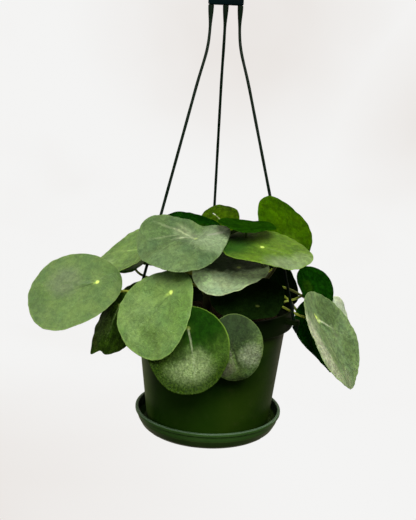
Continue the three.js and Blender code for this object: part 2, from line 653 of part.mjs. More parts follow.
// The petiole leaves its stem level, arches, and meets the blade's underside.
function makePetiole(leaf, upper) {
  const [stem, height, azimuth] = leaf.stem;
  const [arch, droop] = leaf.path;
  const out = polar(1, azimuth, 0);
  const stemLine = stemCurve(STEMS[stem]);
  const share = stemShareAt(stemLine, height);
  const start = stemLine.getPoint(share);
  const end = new THREE.Vector3(...leaf.at);
  const span = start.distanceTo(end);
  const slope = arch / Math.hypot(arch, PETIOLE_START_PULL * span);
  const gap = PETIOLE_GAP + PETIOLE_BASE_RADIUS * Math.abs(slope);
  start.addScaledVector(out, stemRadiusAt(STEMS[stem], share) + gap);
  const arrival = upper.clone().addScaledVector(UP, -droop).normalize();
  const tilt = Math.sqrt(Math.max(0, 1 - arrival.dot(upper) ** 2));
  const sunk = Math.max(0, PETIOLE_TOP_RADIUS * tilt - BLADE_THICKNESS / 3);
  end.addScaledVector(upper, -sunk);
  const leave = start.clone().addScaledVector(out, PETIOLE_START_PULL * span);
  leave.addScaledVector(UP, arch);
  const arrive = end.clone().addScaledVector(arrival, -PETIOLE_END_PULL * span);
  const curve = new THREE.CubicBezierCurve3(start, leave, arrive, end);
  const radiusAt = (along) => {
    const narrowed = Math.min(1, along / PETIOLE_NARROWED);
    return PETIOLE_BASE_RADIUS + (PETIOLE_TOP_RADIUS - PETIOLE_BASE_RADIUS) * narrowed;
  };
  const sideways = end.clone().sub(start).cross(UP).normalize();
  return tube(curve, PETIOLE_STEPS, PETIOLE_SIDES, radiusAt, sideways);
}

function makeLeaf(leaf, number) {
  const axes = bladeAxes(leaf);
  const { geometry, upper } = makeBlade(leaf, axes, number * RIPPLE_STEP);
  const joined = solidOf(geometry).add(solidOf(makePetiole(leaf, upper)));
  const name = `leaf_${String(number).padStart(2, '0')}`;
  addPart(name, geometryOf(joined), 'leaf');
}

makePot();
makeSaucer();
makeSoil();
Object.keys(STEMS).forEach(makeStem);
makeHub();
Object.keys(STRAND_AZIMUTHS).forEach(makeStrand);
LEAVES.forEach((leaf, i) => makeLeaf(leaf, i + 1));

// Lower everything so that the hook's bearing point is the origin.
group.children.forEach((mesh) => mesh.geometry.translate(0, 0, -HOOK_SEAT));

export default group;
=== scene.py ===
# A trailing house plant with round leaves, in a hanging pot with a drip saucer.
# Sizes are millimetres from the middle of the pot's rim, as in the solids' own source,
# and become metres below the hook's bearing point when a mesh is made.
import math

import bpy
from mathutils import Matrix, Vector, noise


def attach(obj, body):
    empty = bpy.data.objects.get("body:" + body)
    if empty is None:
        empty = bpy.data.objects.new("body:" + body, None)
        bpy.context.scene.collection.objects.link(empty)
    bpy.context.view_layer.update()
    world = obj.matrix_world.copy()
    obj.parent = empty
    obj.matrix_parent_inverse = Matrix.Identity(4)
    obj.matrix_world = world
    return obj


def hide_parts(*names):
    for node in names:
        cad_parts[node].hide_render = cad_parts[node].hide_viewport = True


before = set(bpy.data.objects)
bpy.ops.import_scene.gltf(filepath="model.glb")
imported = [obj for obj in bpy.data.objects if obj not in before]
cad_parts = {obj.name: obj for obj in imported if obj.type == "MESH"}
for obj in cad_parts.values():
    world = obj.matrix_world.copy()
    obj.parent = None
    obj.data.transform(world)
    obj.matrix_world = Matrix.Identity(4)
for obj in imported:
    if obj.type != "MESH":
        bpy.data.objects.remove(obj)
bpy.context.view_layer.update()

HOOK_SEAT = 308.5
TAU = 2 * math.pi
UP = Vector((0, 0, 1))
SIDEWAYS = Vector((1, 0, 0))

# The camera, in millimetres from the middle of the rim, and its angles in degrees.
CAMERA_AT = (-3.4, -700.0, 178.2)
CAMERA_PITCH = 11.3
CAMERA_YAW = -0.2
CAMERA_ROLL = 2.5
FOCAL_PIXELS = 775.0
FRAME_HEIGHT_PIXELS = 520.0
SENSOR_HEIGHT = 36.0

# The pot, its rim band and its lugs.
RIM_RADIUS = 76.0
RIM_BAND_HEIGHT = 17.5
RIM_BAND_STEP = 7.0
POT_WALL = 1.8
POT_BASE_RADIUS = 58.0
POT_HEIGHT = 118.0
POT_TOP_RADIUS = RIM_RADIUS - RIM_BAND_STEP
RIM_WALL = 2.4
EDGE_ROUND = 0.8
BASE_ROUND = 2.0
SHOULDER_TOP = 5.0
SHOULDER_FOOT = 1.5
DRAIN_HOLES = 6
DRAIN_HOLE_RADIUS = 4.0
DRAIN_RING_RADIUS = 36.0
LUG_RADIUS = 82.0
LUG_DROP = 5.0
LUG_THICKNESS = 4.0
LUG_WIDTH = 9.0
LUG_HOLE_RADIUS = 1.7
LUG_ROOT = 1.4
LUG_LOW = -LUG_DROP - LUG_THICKNESS
POT_FLOOR_TOP = -POT_HEIGHT + POT_WALL
TURN_SEGMENTS = 144
# The most of a side that a rounded corner may take.
LONGEST_CUT = 0.45
SHARP_ANGLE = 40

# The saucer.
SAUCER_LIP_RADIUS = 69.0
SAUCER_BASE_RADIUS = 59.5
SAUCER_HEIGHT = 17.5
SAUCER_WALL = 1.8
SAUCER_LIP_WIDTH = 2.8
SAUCER_LIP_HEIGHT = 3.0
SAUCER_BOTTOM = -120.1
SAUCER_SIDE = [(0, 0), (3.6, 3), (6.9, 9), (7.9, 14.5)]
TAB_HEIGHT = 9.3
TAB_WIDTH = 7.0
TAB_THICKNESS = 1.6
TAB_RADIUS = 60.2
TAB_AZIMUTHS = (40, 140, 220, 320)

# The soil and the stems.
SOIL_DROP = 13.0
SOIL_DOME = 5.0
SOIL_WALL_GAP = POT_WALL + 0.6
SOIL_FLOOR_GAP = 0.5
SOIL_FOOT_INSET = 2.4
SOIL_RINGS = 34
CLODS = 900
CLODS_PER_PERLITE = 7
CLOD_STEM_GAP = 2.4
CLOD_SEED = 7
CLOD_JITTER = 0.35
CLOD_RADIUS = 0.8
STEM_SOIL_DEPTH = 38.0
STEM_SWELLING = 0.04
STEM_SWELLINGS = 4
STEM_TAPER = 0.25
STEMS = {
    "stem_main": {"foot": (-4, 6), "radius": 5.6, "top": (-3, 4, 42)},
    "stem_left": {"foot": (-32, -10), "radius": 4.2, "top": (-38, -15, 22)},
    "stem_right": {"foot": (33, -8), "radius": 4.2, "top": (39, -10, 24)},
}

# The hanger.
STRAND_OFFSETS = {"strand_front_left": -1, "strand_back": 0, "strand_front_right": 1}
STRAND_AZIMUTHS = {"strand_front_left": 212, "strand_back": 92, "strand_front_right": -27}
STRAND_APEX = 289.0
STRAND_TOP_SPACING = 12.7
STRAND_TOP_WIDTH = 5.0
STRAND_WIDTH = 2.6
STRAND_TAPER = 20.0
STRAND_BEND_TOP = 256.0
STRAND_BEND_END = 190.0
BARB_LENGTH = 6.0
BARB_RADIUS = 3.0
BARB_TIP_RADIUS = 0.9
BARB_DROP = 1.2
HUB_BOTTOM = 263.5
HUB_HEIGHT = 7.0
HUB_CLEARANCE = 0.3
HUB_WIDTH = 30.6
HUB_THICKNESS = 4.4
HUB_CORNER = 1.0
HUB_RISE = 2.0
HOOK_RADIUS = 11.0
HOOK_BAR = 5.2
HOOK_NECK = 16.0
HOOK_MOUTH = 195
HOOK_HEEL = -40
HOOK_CENTRE = HUB_BOTTOM + HUB_HEIGHT + HOOK_NECK + HOOK_RADIUS
HOOK_INSIDE_SOLID = 0.03
HOOK_OUTER = HOOK_RADIUS + HOOK_BAR - HOOK_INSIDE_SOLID

# The leaves.
BLADE_THICKNESS = 0.9
PETIOLE_BASE_RADIUS = 1.8
PETIOLE_TOP_RADIUS = 1.25
PETIOLE_GAP = 0.54
PETIOLE_START_PULL = 0.4
PETIOLE_END_PULL = 0.3
EDGE_RIPPLE = 0.8
RIPPLE_WAVES = 4
RIPPLE_STEP = 1.7
DIMPLE = 0.6
PETIOLE_COVER = 0.7
PETIOLE_SIDES = 12
PETIOLE_FLARE = 0.3
PETIOLE_SLIMMER = 0.08
# What the petiole's points have for a place on the flat blade, which their own look ignores.
PETIOLE_FLAT = (30.0, 30.0)
EDGE_THINNING = 0.45
EDGE_REACH = 0.22
EDGE_MIDDLE = 0.985
EDGE_ROLL = 0.6
NICK_DEPTH = 0.022
DIMPLE_REACH = 4.0
PUCKER_HEIGHT = 0.8
RIPPLE_HEIGHT = 0.9
DEEPEST_QUILT = 0.8

# Layers of noise on single forms: how fine and how strong each one is.
PUCKERS = ((0.045, 1.3), (0.10, 0.9), (0.22, 0.3), (0.45, 0.12))
NICKS = ((2.2, 0.6), (6.5, 0.3), (15.0, 0.14))
BARK_ROUGHNESS = ((0.55, 0.25), (1.6, 0.12))
SOIL_ROUGHNESS = ((0.45, 1.1), (1.1, 0.7))


def radians(*angles):
    return [math.radians(angle) for angle in angles]


def polar(radius, azimuth, height=0.0):
    angle = math.radians(azimuth)
    return Vector((radius * math.cos(angle), radius * math.sin(angle), height))


def smoothstep(low, high, value):
    share = min(1.0, max(0.0, (value - low) / (high - low)))
    return share * share * (3 - 2 * share)


def layered(place, layers, drift=Vector()):
    return sum(noise.noise(place * fineness + drift) * height for fineness, height in layers)


# Mesh making. Every function works in millimetres, and make_object turns them to metres.
class Sheet:
    """Points and faces gathered for one mesh."""

    def __init__(self):
        self.points = []
        self.faces = []
        self.slots = []

    def add_points(self, points):
        first = len(self.points)
        self.points.extend(Vector(point) for point in points)
        return first

    def add_face(self, corners, slot=0):
        self.faces.append(tuple(corners))
        self.slots.append(slot)

    def join_rings(self, lower, upper, count, slot=0):
        for i in range(count):
            j = (i + 1) % count
            self.add_face((lower + i, lower + j, upper + j, upper + i), slot)


def add_object(name, data):
    added = bpy.data.objects.new(name, data)
    bpy.context.scene.collection.objects.link(added)
    return added


def make_object(name, sheet, materials=(), sharp_angle=None):
    mesh = bpy.data.meshes.new(name)
    metres = [(p.x / 1000, p.y / 1000, (p.z - HOOK_SEAT) / 1000) for p in sheet.points]
    mesh.from_pydata(metres, [], sheet.faces)
    for material in materials:
        mesh.materials.append(material)
    mesh.polygons.foreach_set("material_index", sheet.slots)
    mesh.update()
    piece = add_object(name, mesh)
    shade(piece, sharp_angle)
    return piece


def shade(piece, sharp_angle=None):
    """Smooth shading, but crisp where faces meet at more than the angle."""
    piece.data.shade_smooth()
    if sharp_angle is not None:
        piece.data.set_sharp_from_angle(angle=math.radians(sharp_angle))


def lathe(sheet, profile, segments):
    """A profile turned about Z; a point on the axis becomes one pole."""
    rings = []
    for radius, height in profile:
        count = segments if radius > 0 else 1
        first = sheet.add_points(polar(radius, 360 * i / segments, height) for i in range(count))
        rings.append([first + i % count for i in range(segments + 1)])
    for lower, upper in zip(rings, rings[1:]):
        for i in range(segments):
            corners = (lower[i], lower[i + 1], upper[i + 1], upper[i])
            sheet.add_face(dict.fromkeys(corners))


def prism(name, outline, low, high, lay, materials=()):
    """A slab between two copies of an outline; lay puts a point of it at a level."""
    count = len(outline)
    sheet = Sheet()
    bottom = sheet.add_points(lay(*point, low) for point in outline)
    top = sheet.add_points(lay(*point, high) for point in outline)
    sheet.join_rings(bottom, top, count)
    sheet.add_face([bottom + i for i in reversed(range(count))])
    sheet.add_face([top + i for i in range(count)])
    return make_object(name, sheet, materials)


def turned(azimuth):
    """A function that turns a point about the upright axis."""
    turn = Matrix.Rotation(math.radians(azimuth), 4, "Z")
    return lambda *point: turn @ Vector(point)


def rounded(profile, radius, steps=4):
    """The profile with each inner corner turned into a short arc."""
    points = [Vector(point) for point in profile]
    result = [tuple(points[0])]
    for before, corner, after in zip(points, points[1:], points[2:]):
        back = before - corner
        ahead = after - corner
        cut = min(radius, back.length * LONGEST_CUT, ahead.length * LONGEST_CUT)
        start = corner + back.normalized() * cut
        end = corner + ahead.normalized() * cut
        for step in range(steps + 1):
            share = step / steps
            point = start * (1 - share) ** 2 + corner * 2 * share * (1 - share) + end * share ** 2
            result.append(tuple(point))
    result.append(tuple(points[-1]))
    return result


def tube(sheet, path, radius_at, sides, sideways, slot=0):
    """A capped tube along a list of points, its section laid across from one direction."""
    count = len(path)
    first = None
    for step, centre in enumerate(path):
        along = (path[min(step + 1, count - 1)] - path[max(step - 1, 0)]).normalized()
        across = (sideways - along * sideways.dot(along)).normalized()
        other = along.cross(across)
        radius = radius_at(step / (count - 1), centre)
        ring = []
        for side in range(sides):
            angle = TAU * side / sides
            ring.append(centre + (across * math.cos(angle) + other * math.sin(angle)) * radius)
        here = sheet.add_points(ring)
        if first is None:
            first = here
        else:
            sheet.join_rings(here - sides, here, sides, slot)
    sheet.add_face([first + side for side in reversed(range(sides))], slot)
    last = first + (count - 1) * sides
    sheet.add_face([last + side for side in range(sides)], slot)


def bezier(a, b, c, d, steps):
    points = []
    for step in range(steps + 1):
        t = step / steps
        s = 1 - t
        points.append(a * s ** 3 + b * (3 * s * s * t) + c * (3 * s * t * t) + d * t ** 3)
    return points


def through(points, steps):
    """A smooth path through the points, with the same number of steps in each span."""
    ends = [points[0] * 2 - points[1], *points, points[-1] * 2 - points[-2]]
    path = []
    for a, b, c, d in zip(ends, ends[1:], ends[2:], ends[3:]):
        for step in range(steps):
            t = step / steps
            path.append(0.5 * (2 * b + (c - a) * t + (2 * a - 5 * b + 4 * c - d) * t * t
                               + (3 * b - a - 3 * c + d) * t ** 3))
    path.append(points[-1].copy())
    return path


def combine(piece, others, operation):
    """Joins or cuts a piece with other objects, which are then removed."""
    for other in others:
        modifier = piece.modifiers.new("cut", "BOOLEAN")
        modifier.operation = operation
        modifier.solver = "EXACT"
        modifier.object = other
    apply_modifiers(piece)
    for other in others:
        bpy.data.objects.remove(other)


def apply_modifiers(piece):
    depsgraph = bpy.context.evaluated_depsgraph_get()
    mesh = bpy.data.meshes.new_from_object(piece.evaluated_get(depsgraph), depsgraph=depsgraph)
    piece.modifiers.clear()
    piece.data = mesh


def bevel(piece, width, angle=35, segments=3):
    modifier = piece.modifiers.new("bevel", "BEVEL")
    modifier.width = width / 1000
    modifier.segments = segments
    modifier.limit_method = "ANGLE"
    modifier.angle_limit = math.radians(angle)
    apply_modifiers(piece)


def stand_for(piece, node):
    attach(piece, "root")
    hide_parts(node)


# Materials.
class Shader:
    """The nodes of a material or of the world, and short ways to add to them."""

    def __init__(self, owner, main="Principled BSDF"):
        owner.use_nodes = True
        self.owner = owner
        self.tree = owner.node_tree
        self.main = self.tree.nodes[main]

    def feed(self, socket, value):
        """Links or sets a socket; a colour may be given without its alpha."""
        if isinstance(value, bpy.types.NodeSocket):
            self.tree.links.new(value, socket)
        elif socket.type == "RGBA":
            socket.default_value = (*value[:3], 1.0)
        else:
            socket.default_value = value

    def node(self, kind, inputs=(), output=0, **settings):
        """One output of a new node, which is fed by the names or numbers of its inputs."""
        node = self.tree.nodes.new("ShaderNode" + kind)
        for key, value in settings.items():
            setattr(node, key, value)
        for key, value in dict(inputs).items():
            self.feed(node.inputs[key], value)
        return node.outputs[output]

    def set(self, **values):
        for key, value in values.items():
            self.feed(self.main.inputs[key.replace("_", " ")], value)

    def place(self):
        return self.node("TexCoord", output="Object")

    def parts(self, vector):
        return self.node("SeparateXYZ", {0: vector}).node.outputs

    def math(self, operation, value, *others, clamp=False):
        """Works from left to right; with one number the node's second input stays at 0."""
        for other in others or (0.0,):
            value = self.node("Math", {0: value, 1: other}, operation=operation, use_clamp=clamp)
        return value

    def times(self, *values):
        return self.math("MULTIPLY", *values)

    def plus(self, *values, clamp=False):
        return self.math("ADD", *values, clamp=clamp)

    def vector(self, operation, a, b, output=0):
        return self.node("VectorMath", {0: a, 1: b}, output, operation=operation)

    def scaled(self, vector, scale):
        return self.node("VectorMath", {0: vector, "Scale": scale}, operation="SCALE")

    def distance(self, a, b=(0.0, 0.0, 0.0)):
        return self.vector("DISTANCE", a, b, "Value")

    def line(self, place, start, run):
        """How far a place lies from a straight line, and its share of the way along it."""
        from_start = self.vector("SUBTRACT", place, start)
        along = self.vector("DOT_PRODUCT", from_start, run, "Value")
        share = self.math("DIVIDE", along, run[0] ** 2 + run[1] ** 2, clamp=True)
        return self.distance(from_start, self.scaled(run, share)), share

    def band(self, value, low, high, out_low=0.0, out_high=1.0, kind="SMOOTHSTEP"):
        """A smooth or straight step of the value from out_low at low to out_high at high."""
        inputs = enumerate((value, low, high, out_low, out_high))
        return self.node("MapRange", inputs, interpolation_type=kind)

    def mix(self, factor, a, b, blend="MIX"):
        return self.node("Mix", {0: factor, 6: a, 7: b}, 2, data_type="RGBA", blend_type=blend)

    def tinted(self, factor, colour, tint):
        return self.mix(factor, colour, tint, "MULTIPLY")

    def noise(self, vector, scale, detail=2.0, roughness=0.5, output="Fac"):
        inputs = {"Vector": vector, "Scale": scale, "Detail": detail, "Roughness": roughness}
        return self.node("TexNoise", inputs, output)

    def voronoi(self, vector, scale, feature="DISTANCE_TO_EDGE"):
        return self.node("TexVoronoi", {"Vector": vector, "Scale": scale}, "Distance", feature=feature)

    def bump(self, height, strength, distance):
        inputs = {"Strength": strength, "Distance": distance, "Height": height}
        self.set(Normal=self.node("Bump", inputs))


def new_material(name):
    return Shader(bpy.data.materials.new(name))


# Looks of the leaves: the colour, how strongly the upper face shines, how roughly, how deeply
# it is puckered, how much light comes through, how clear its petiole dot, its veins and its
# radial streaks are, how much paler or darker the veins are, and how mottled it is. Colours
# in this table and the next ones are linear, in thousandths.
LOOK_PARTS = ("colour", "gloss", "rough", "quilt", "glow", "dot", "vein", "rays", "rib", "mottle")
TONES = {
    "fresh": ((118, 198, 61), 0.28, 0.46, 0.8, 0.06, 1.0, 0.9, 0.4, 0.55, 1.1),
    "silver": ((138, 224, 88), 0.25, 0.44, 0.8, 0.06, 1.0, 1.0, 0.6, 0.8, 2.6),
    "lime": ((136, 242, 60), 0.26, 0.44, 0.8, 0.08, 1.0, 0.9, 0.4, 0.6, 1.4),
    "sage": ((76, 130, 50), 0.26, 0.4, 0.7, 0.03, 0.3, 1.3, 1.4, 1.7, 1.7),
    "level": ((102, 192, 18), 0.2, 0.42, 0.6, 0.06, 0.8, 0.5, 0.4, 1.4, 1.6),
    "side": ((154, 265, 71), 0.3, 0.45, 0.6, 0.1, 0.3, 1.2, 0.7, 1.6, 1.8),
    "grass": ((68, 136, 18), 0.05, 0.5, 1.4, 0.05, 0.22, 0.8, 0.5, 1.6, 2.0),
    "dusky": ((104, 178, 49), 0.24, 0.46, 1.4, 0.03, 0.0, 0.6, 0.5, 1.4, 2.0),
    # Painted light: far paler than the leaf's own colour, for a leaf whose front lies in the shade of the
    # leaves above.
    "pale": ((330, 440, 258), 0.08, 0.45, 0.8, 0.05, 0.4, 0.6, 0.5, 1.3, 1.8),
    "glow": ((31, 84, 0), 0.01, 0.5, 0.5, 0.25, 0.0, 0.6, 0.3, 1.5, 2.4),
    "olive": ((32, 70, 1), 0.02, 0.5, 0.5, 0.25, 0.0, 0.5, 0.5, 1.5, 3.0),
    # Painted shade: the next five are darker than the leaves' own green, for leaves that lie in shade under
    # or behind others.
    "leek": ((8, 40, 1), 0.0, 0.5, 0.5, 0.1, 0.0, 0.4, 0.3, 1.5, 2.0),
    "deep": ((3, 24.5, 0.9), 0.0, 0.5, 0.5, 0.1, 0.0, 0.5, 0.5, 2.0, 3.0),
    "shade": ((4, 11.5, 1.8), 0.0, 0.45, 0.8, 0.02, 0.08, 0.4, 0.3, 1.5, 2.0),
    "night": ((5, 48, 1), 0.0, 0.45, 0.8, 0.02, 0.3, 0.4, 0.3, 1.5, 2.0),
    "under": ((19, 44, 3), 0.02, 0.45, 1.2, 0.02, 0.3, 1.4, 0.8, 2.2, 3.5),
    "low": ((90, 180, 22), 0.2, 0.45, 0.7, 0.06, 0.6, 0.7, 0.4, 1.5, 1.5),
    "back": ((85, 170, 30), 0.3, 0.42, 0.8, 0.06, 0.9, 1.0, 0.4, 1.5, 1.5),
    # Painted light: far paler than the leaf's own colour, for a small leaf that the light hardly reaches.
    "painted_bright": ((500, 580, 410), 0.25, 0.5, 0.5, 0.05, 0.2, 0.5, 0.3, 1.4, 1.5),
}
TONES = {tone: dict(zip(LOOK_PARTS, parts)) for tone, parts in TONES.items()}
TONES["back_dim"] = TONES["back"]

# The undersides that differ from their upper faces by more than being paler. The darkest
# five are painted shade, for undersides that lie in shade.
UNDERSIDES = {
    "low": (50, 130, 2),
    "side": (200, 290, 14),
    "back_dim": (6, 22, 2),
    "leek": (20, 60, 6),
    "deep": (12, 45, 4),
    "night": (10, 30, 4),
    "shade": (20, 50, 10),
}

# Soft patches on single leaves, most of them painted: shadows cast by the leaves above,
# painted sheen, and pale painted light where the real light falls short, besides some of the
# leaf's own colour. Each has the middle (toward the tip and to the side of the petiole), the
# reach, the strength and the colour.
PATCHES = {
    "fresh": ((26, -24, 20, 0.5, (155, 248, 76)), (28, 12, 22, 0.6, (152, 188, 112)),
              (56, 4, 18, 0.7, (78, 145, 40)), (-18, 4, 16, 0.6, (82, 152, 38))),
    # Pale patches of painted sheen.
    "silver": ((28, 8, 16, 0.5, (150, 205, 95)), (58, 8, 14, 0.7, (230, 290, 165)),
               (4, -20, 24, 0.8, (60, 108, 30)), (44, -24, 18, 0.6, (72, 128, 36)),
               (0, 14, 12, 0.6, (210, 255, 150))),
    "lime": ((4, -24, 26, 0.5, (85, 185, 24)), (30, 14, 24, 0.5, (185, 290, 98)),
             (40, -8, 14, 0.6, (95, 180, 36)), (50, 4, 12, 0.5, (190, 300, 90))),
    # The pale patches are painted sheen and painted light.
    "sage": ((-10, -8, 28, 0.9, (195, 270, 155)), (2, 10, 16, 0.6, (190, 245, 140)),
             (36, -14, 20, 0.4, (130, 205, 85)), (24, 26, 18, 0.6, (70, 125, 40))),
    # Painted shadow of the leaf above over the rear, and painted sheen toward the front.
    "level": ((-28, 2, 30, 0.97, (18, 74, 3)), (24, 26, 26, 0.8, (205, 275, 145)),
              (36, 6, 16, 0.6, (220, 300, 140))),
    "side": ((30, -22, 14, 0.7, (300, 420, 180)), (44, 8, 16, 0.5, (110, 215, 40))),
    # The large dark patch is painted shade under the leaves above.
    "grass": ((-12, -6, 50, 0.98, (6, 36, 1)), (35, -4, 24, 0.85, (215, 290, 130)),
              (40, 16, 12, 0.6, (170, 235, 100)), (19, 9, 14, 0.75, (24, 56, 6)),
              (22, -26, 14, 0.4, (50, 105, 12))),
    # The dark patch over the top is painted shade, and the palest one painted sheen.
    "dusky": ((-19, -2, 29, 0.95, (16, 34, 10)), (2, 8, 9, 0.6, (40, 62, 24)),
              (17, 9, 10, 0.8, (165, 178, 110)), (9, -12, 14, 0.85, (250, 300, 190)),
              (30, 0, 9, 0.7, (40, 75, 12))),
    # Painted light: pale patches where the leaves above shade the front.
    "pale": ((38, 13, 16, 0.8, (600, 820, 460)), (34, 20, 18, 0.6, (520, 760, 370)),
             (2, -30, 20, 0.9, (540, 780, 390)), (14, -20, 20, 0.85, (580, 790, 440)),
             (0, -24, 14, 0.9, (620, 850, 470))),
    "glow": ((26, 26, 24, 0.7, (14, 54, 0)), (-10, -6, 18, 0.6, (60, 125, 6))),
    "deep": ((-4, 0, 10, 0.5, (16, 45, 2)),),
    "under": ((20, 14, 16, 0.6, (55, 90, 22)), (0, -10, 16, 0.7, (6, 20, 2))),
}

# Drawn lines on single leaves, such as midribs, silvery streaks that are partly painted sheen,
# creases darkened with painted shade and a painted highlight along a curled edge: from a
# point to another, the width, the strength and the colour.
STROKES = {
    "fresh": ((1, 0, 5, 0.5, 1.6, 0.8, (420, 600, 110)), (4, 0.5, 17, -1, 1.1, 0.6, (60, 115, 30)),
              (14, 2, 34, 14, 2.2, 0.3, (75, 135, 40)), (18, 4, 36, -10, 2.2, 0.3, (85, 150, 45))),
    "silver": ((2, -1, 19, -15, 1.3, 0.8, (400, 460, 320)), (3, 1, 19, -10, 1.6, 0.6, (50, 100, 30)),
               (-2, 2, 4, -2, 3.2, 1.0, (800, 980, 250)), (-10, 33, 62, 30, 15.0, 1.0, (380, 425, 290)),
               (6, 4, 30, 12, 2.0, 0.4, (90, 150, 60)), (22, 4, 52, 8, 4.0, 0.5, (100, 170, 70)),
               (16, -16, 46, -8, 3.0, 0.3, (210, 270, 150))),
    "lime": ((1, 1, 5, 2, 1.8, 0.8, (420, 600, 110)), (5, 0, 22, 4, 2.0, 0.4, (85, 165, 40)),
             (4, -4, 20, -14, 2.0, 0.4, (85, 165, 30)), (40, -16, 36, 20, 3.0, 0.4, (100, 180, 45))),
    "sage": ((0, 0, 10, 19, 1.6, 0.7, (330, 390, 235)), (0, 0, 19, 6, 1.8, 0.7, (330, 390, 245)),
             (3, -1.5, 22, 0, 1.2, 0.6, (75, 130, 42)), (6, 14, 22, 32, 2.0, 0.4, (235, 285, 165)),
             (14, 10, 34, 18, 2.0, 0.4, (210, 265, 145)), (-2, 6, 4, 26, 1.6, 0.4, (260, 310, 180)),
             (-12, -2, -25, -8, 3.5, 0.6, (330, 360, 290)), (-6, 6, -20, 12, 5.0, 0.5, (170, 225, 135))),
    "level": ((4, 0, 22, 2, 1.2, 0.3, (150, 230, 80)),),
    "side": ((2, 0, 46, -2, 1.4, 0.5, (280, 400, 150)),),
    "grass": ((1, 0, 25, -4, 1.2, 0.75, (270, 330, 200)), (24, -4, 44, -6, 2.0, 0.4, (250, 310, 180))),
    "dusky": ((-6, 3, 23, -3, 2.0, 0.75, (22, 36, 12)), (-4, 6, 20, 2, 1.2, 0.4, (230, 240, 170))),
    # A painted highlight along the curled edge.
    "olive": ((11, -6, 8, -3.5, 0.8, 0.8, (700, 760, 560)), (7, -2.5, 0, 3, 0.8, 0.5, (380, 450, 220))),
    "under": ((0, 0, 34, 4, 1.2, 0.6, (85, 125, 45)), (30, 22, 44, 10, 3.0, 0.5, (50, 60, 12))),
}

# Painted shade over the rear of a leaf that lies under others: how far its edge slants, from
# where to where toward the tip it fades, the strength and the colour.
PAINTED_REAR_SHADE = {"pale": (-0.95, 4.0, 15.0, 0.96, (5, 24, 1))}

# Where the puckers of a wrinkled leaf begin and are full, toward its tip. There its colour
# gets small specks of painted glints and painted shade.
CRINKLES = {"grass": (2.0, 26.0), "dusky": (-26.0, -4.0), "under": (-20.0, 10.0)}

# How far the patches and the strokes wander, in millimetres.
PATCH_WANDER = 9.0
STROKE_WANDER = 1.6

PETIOLE_DOT = (0.72, 0.92, 0.20)
# The tones whose petioles get a darker copy of the petiole's colour, painted shade.
SHADED_PETIOLES = ("level", "pale", "leek", "glow")
FRINGED = "grass"
FRINGE_COLOURS = ((0.006, 0.020, 0.0006), (0.032, 0.070, 0.003))
# Painted shade and painted glints for the specks on puckered leaves: the dark tint, then the bright one.
CRINKLE_GLINTS_AND_SHADE = ((0.56, 0.63, 0.50), (1.32, 1.28, 1.40))
NET_TINT = (0.66, 0.70, 0.66)
LIT_THROUGH = "side"
# The tints of the fine patterns, and from where to where each one sets in.
WEAR = {
    "streaks": (0.35, 0.68, (1.36, 1.32, 1.25)),
    "grain": (0.40, 0.70, (0.62, 0.64, 0.60)),
    "rays": (0.25, 0.65, (1.5, 1.45, 1.5)),
}


def rgb(thousandths):
    return tuple(part / 1000 for part in thousandths)


def shifted(colour, factor, warmth):
    red, green, blue = colour
    return (red * factor * (1 + warmth), green * factor, blue * factor * (1 - warmth))


def vein_pattern(shader, patch, angle, reach):
    """Veins that fan out from the petiole and fade toward the edge, the middle one strongest."""
    wander = shader.times(shader.plus(shader.noise(patch, 0.05, 1.0), -0.5), 0.5)
    bent = shader.plus(angle, wander)
    veins = 0.0
    for turns, spread, width, fade in ((4.5, 0.22, 0.8, (2.0, 34.0, 0.45, 0.0)),
                                       (0.5, 1.0, 0.55, (4.0, 46.0, 1.0, 0.15))):
        away = shader.math("ABSOLUTE", shader.math("SINE", shader.times(bent, turns)))
        vein = shader.band(shader.times(away, reach, spread), 0.0, width, 1.0, 0.0)
        veins = shader.math("MAXIMUM", veins, shader.times(vein, shader.band(reach, *fade)))
    return veins


def painted_light_and_marks(shader, tone, base, colour, leaf, wobble):
    """The colour with the painted shade, painted sheen, painted light and own marks of a single leaf, and
    how far its dark patches, painted shade for the most part, take its shine.
    """
    matte = 0.0
    drawn = shader.vector("ADD", leaf, shader.scaled(wobble, PATCH_WANDER))
    shift = PATCH_WANDER / 2
    # Soft patches: painted shadows, painted sheen and painted light, and some of the leaf's own colour.
    for x, y, span, strength, tint in PATCHES.get(tone, ()):
        away = shader.distance(drawn, (x + shift, y + shift, shift))
        fade = shader.band(away, 0.35 * span, span, strength, 0.0)
        colour = shader.mix(fade, colour, rgb(tint))
        if rgb(tint)[1] < 0.6 * base[1]:
            matte = shader.math("MAXIMUM", matte, fade)
    # Painted shade over the rear of a leaf that lies under others.
    if tone in PAINTED_REAR_SHADE:
        slant, low, high, strength, tint = PAINTED_REAR_SHADE[tone]
        x, y, _ = shader.parts(drawn)
        ahead = shader.plus(x, shader.times(y, slant))
        shift *= 1 + slant
        rear_shade = shader.band(ahead, low + shift, high + shift, strength, 0.0)
        colour = shader.mix(rear_shade, colour, rgb(tint))
    traced = shader.vector("ADD", leaf, shader.scaled(wobble, STROKE_WANDER))
    shift = STROKE_WANDER / 2
    for x0, y0, x1, y1, width, strength, tint in STROKES.get(tone, ()):
        start, run = (x0 + shift, y0 + shift, shift), (x1 - x0, y1 - y0, 0.0)
        away, share = shader.line(traced, start, run)
        fade = shader.band(away, 0.25 * width, width, strength, 0.0)
        fade = shader.times(fade, shader.band(share, 0.5, 1.0, 1.0, 0.25))
        colour = shader.mix(fade, colour, rgb(tint))
    return colour, matte


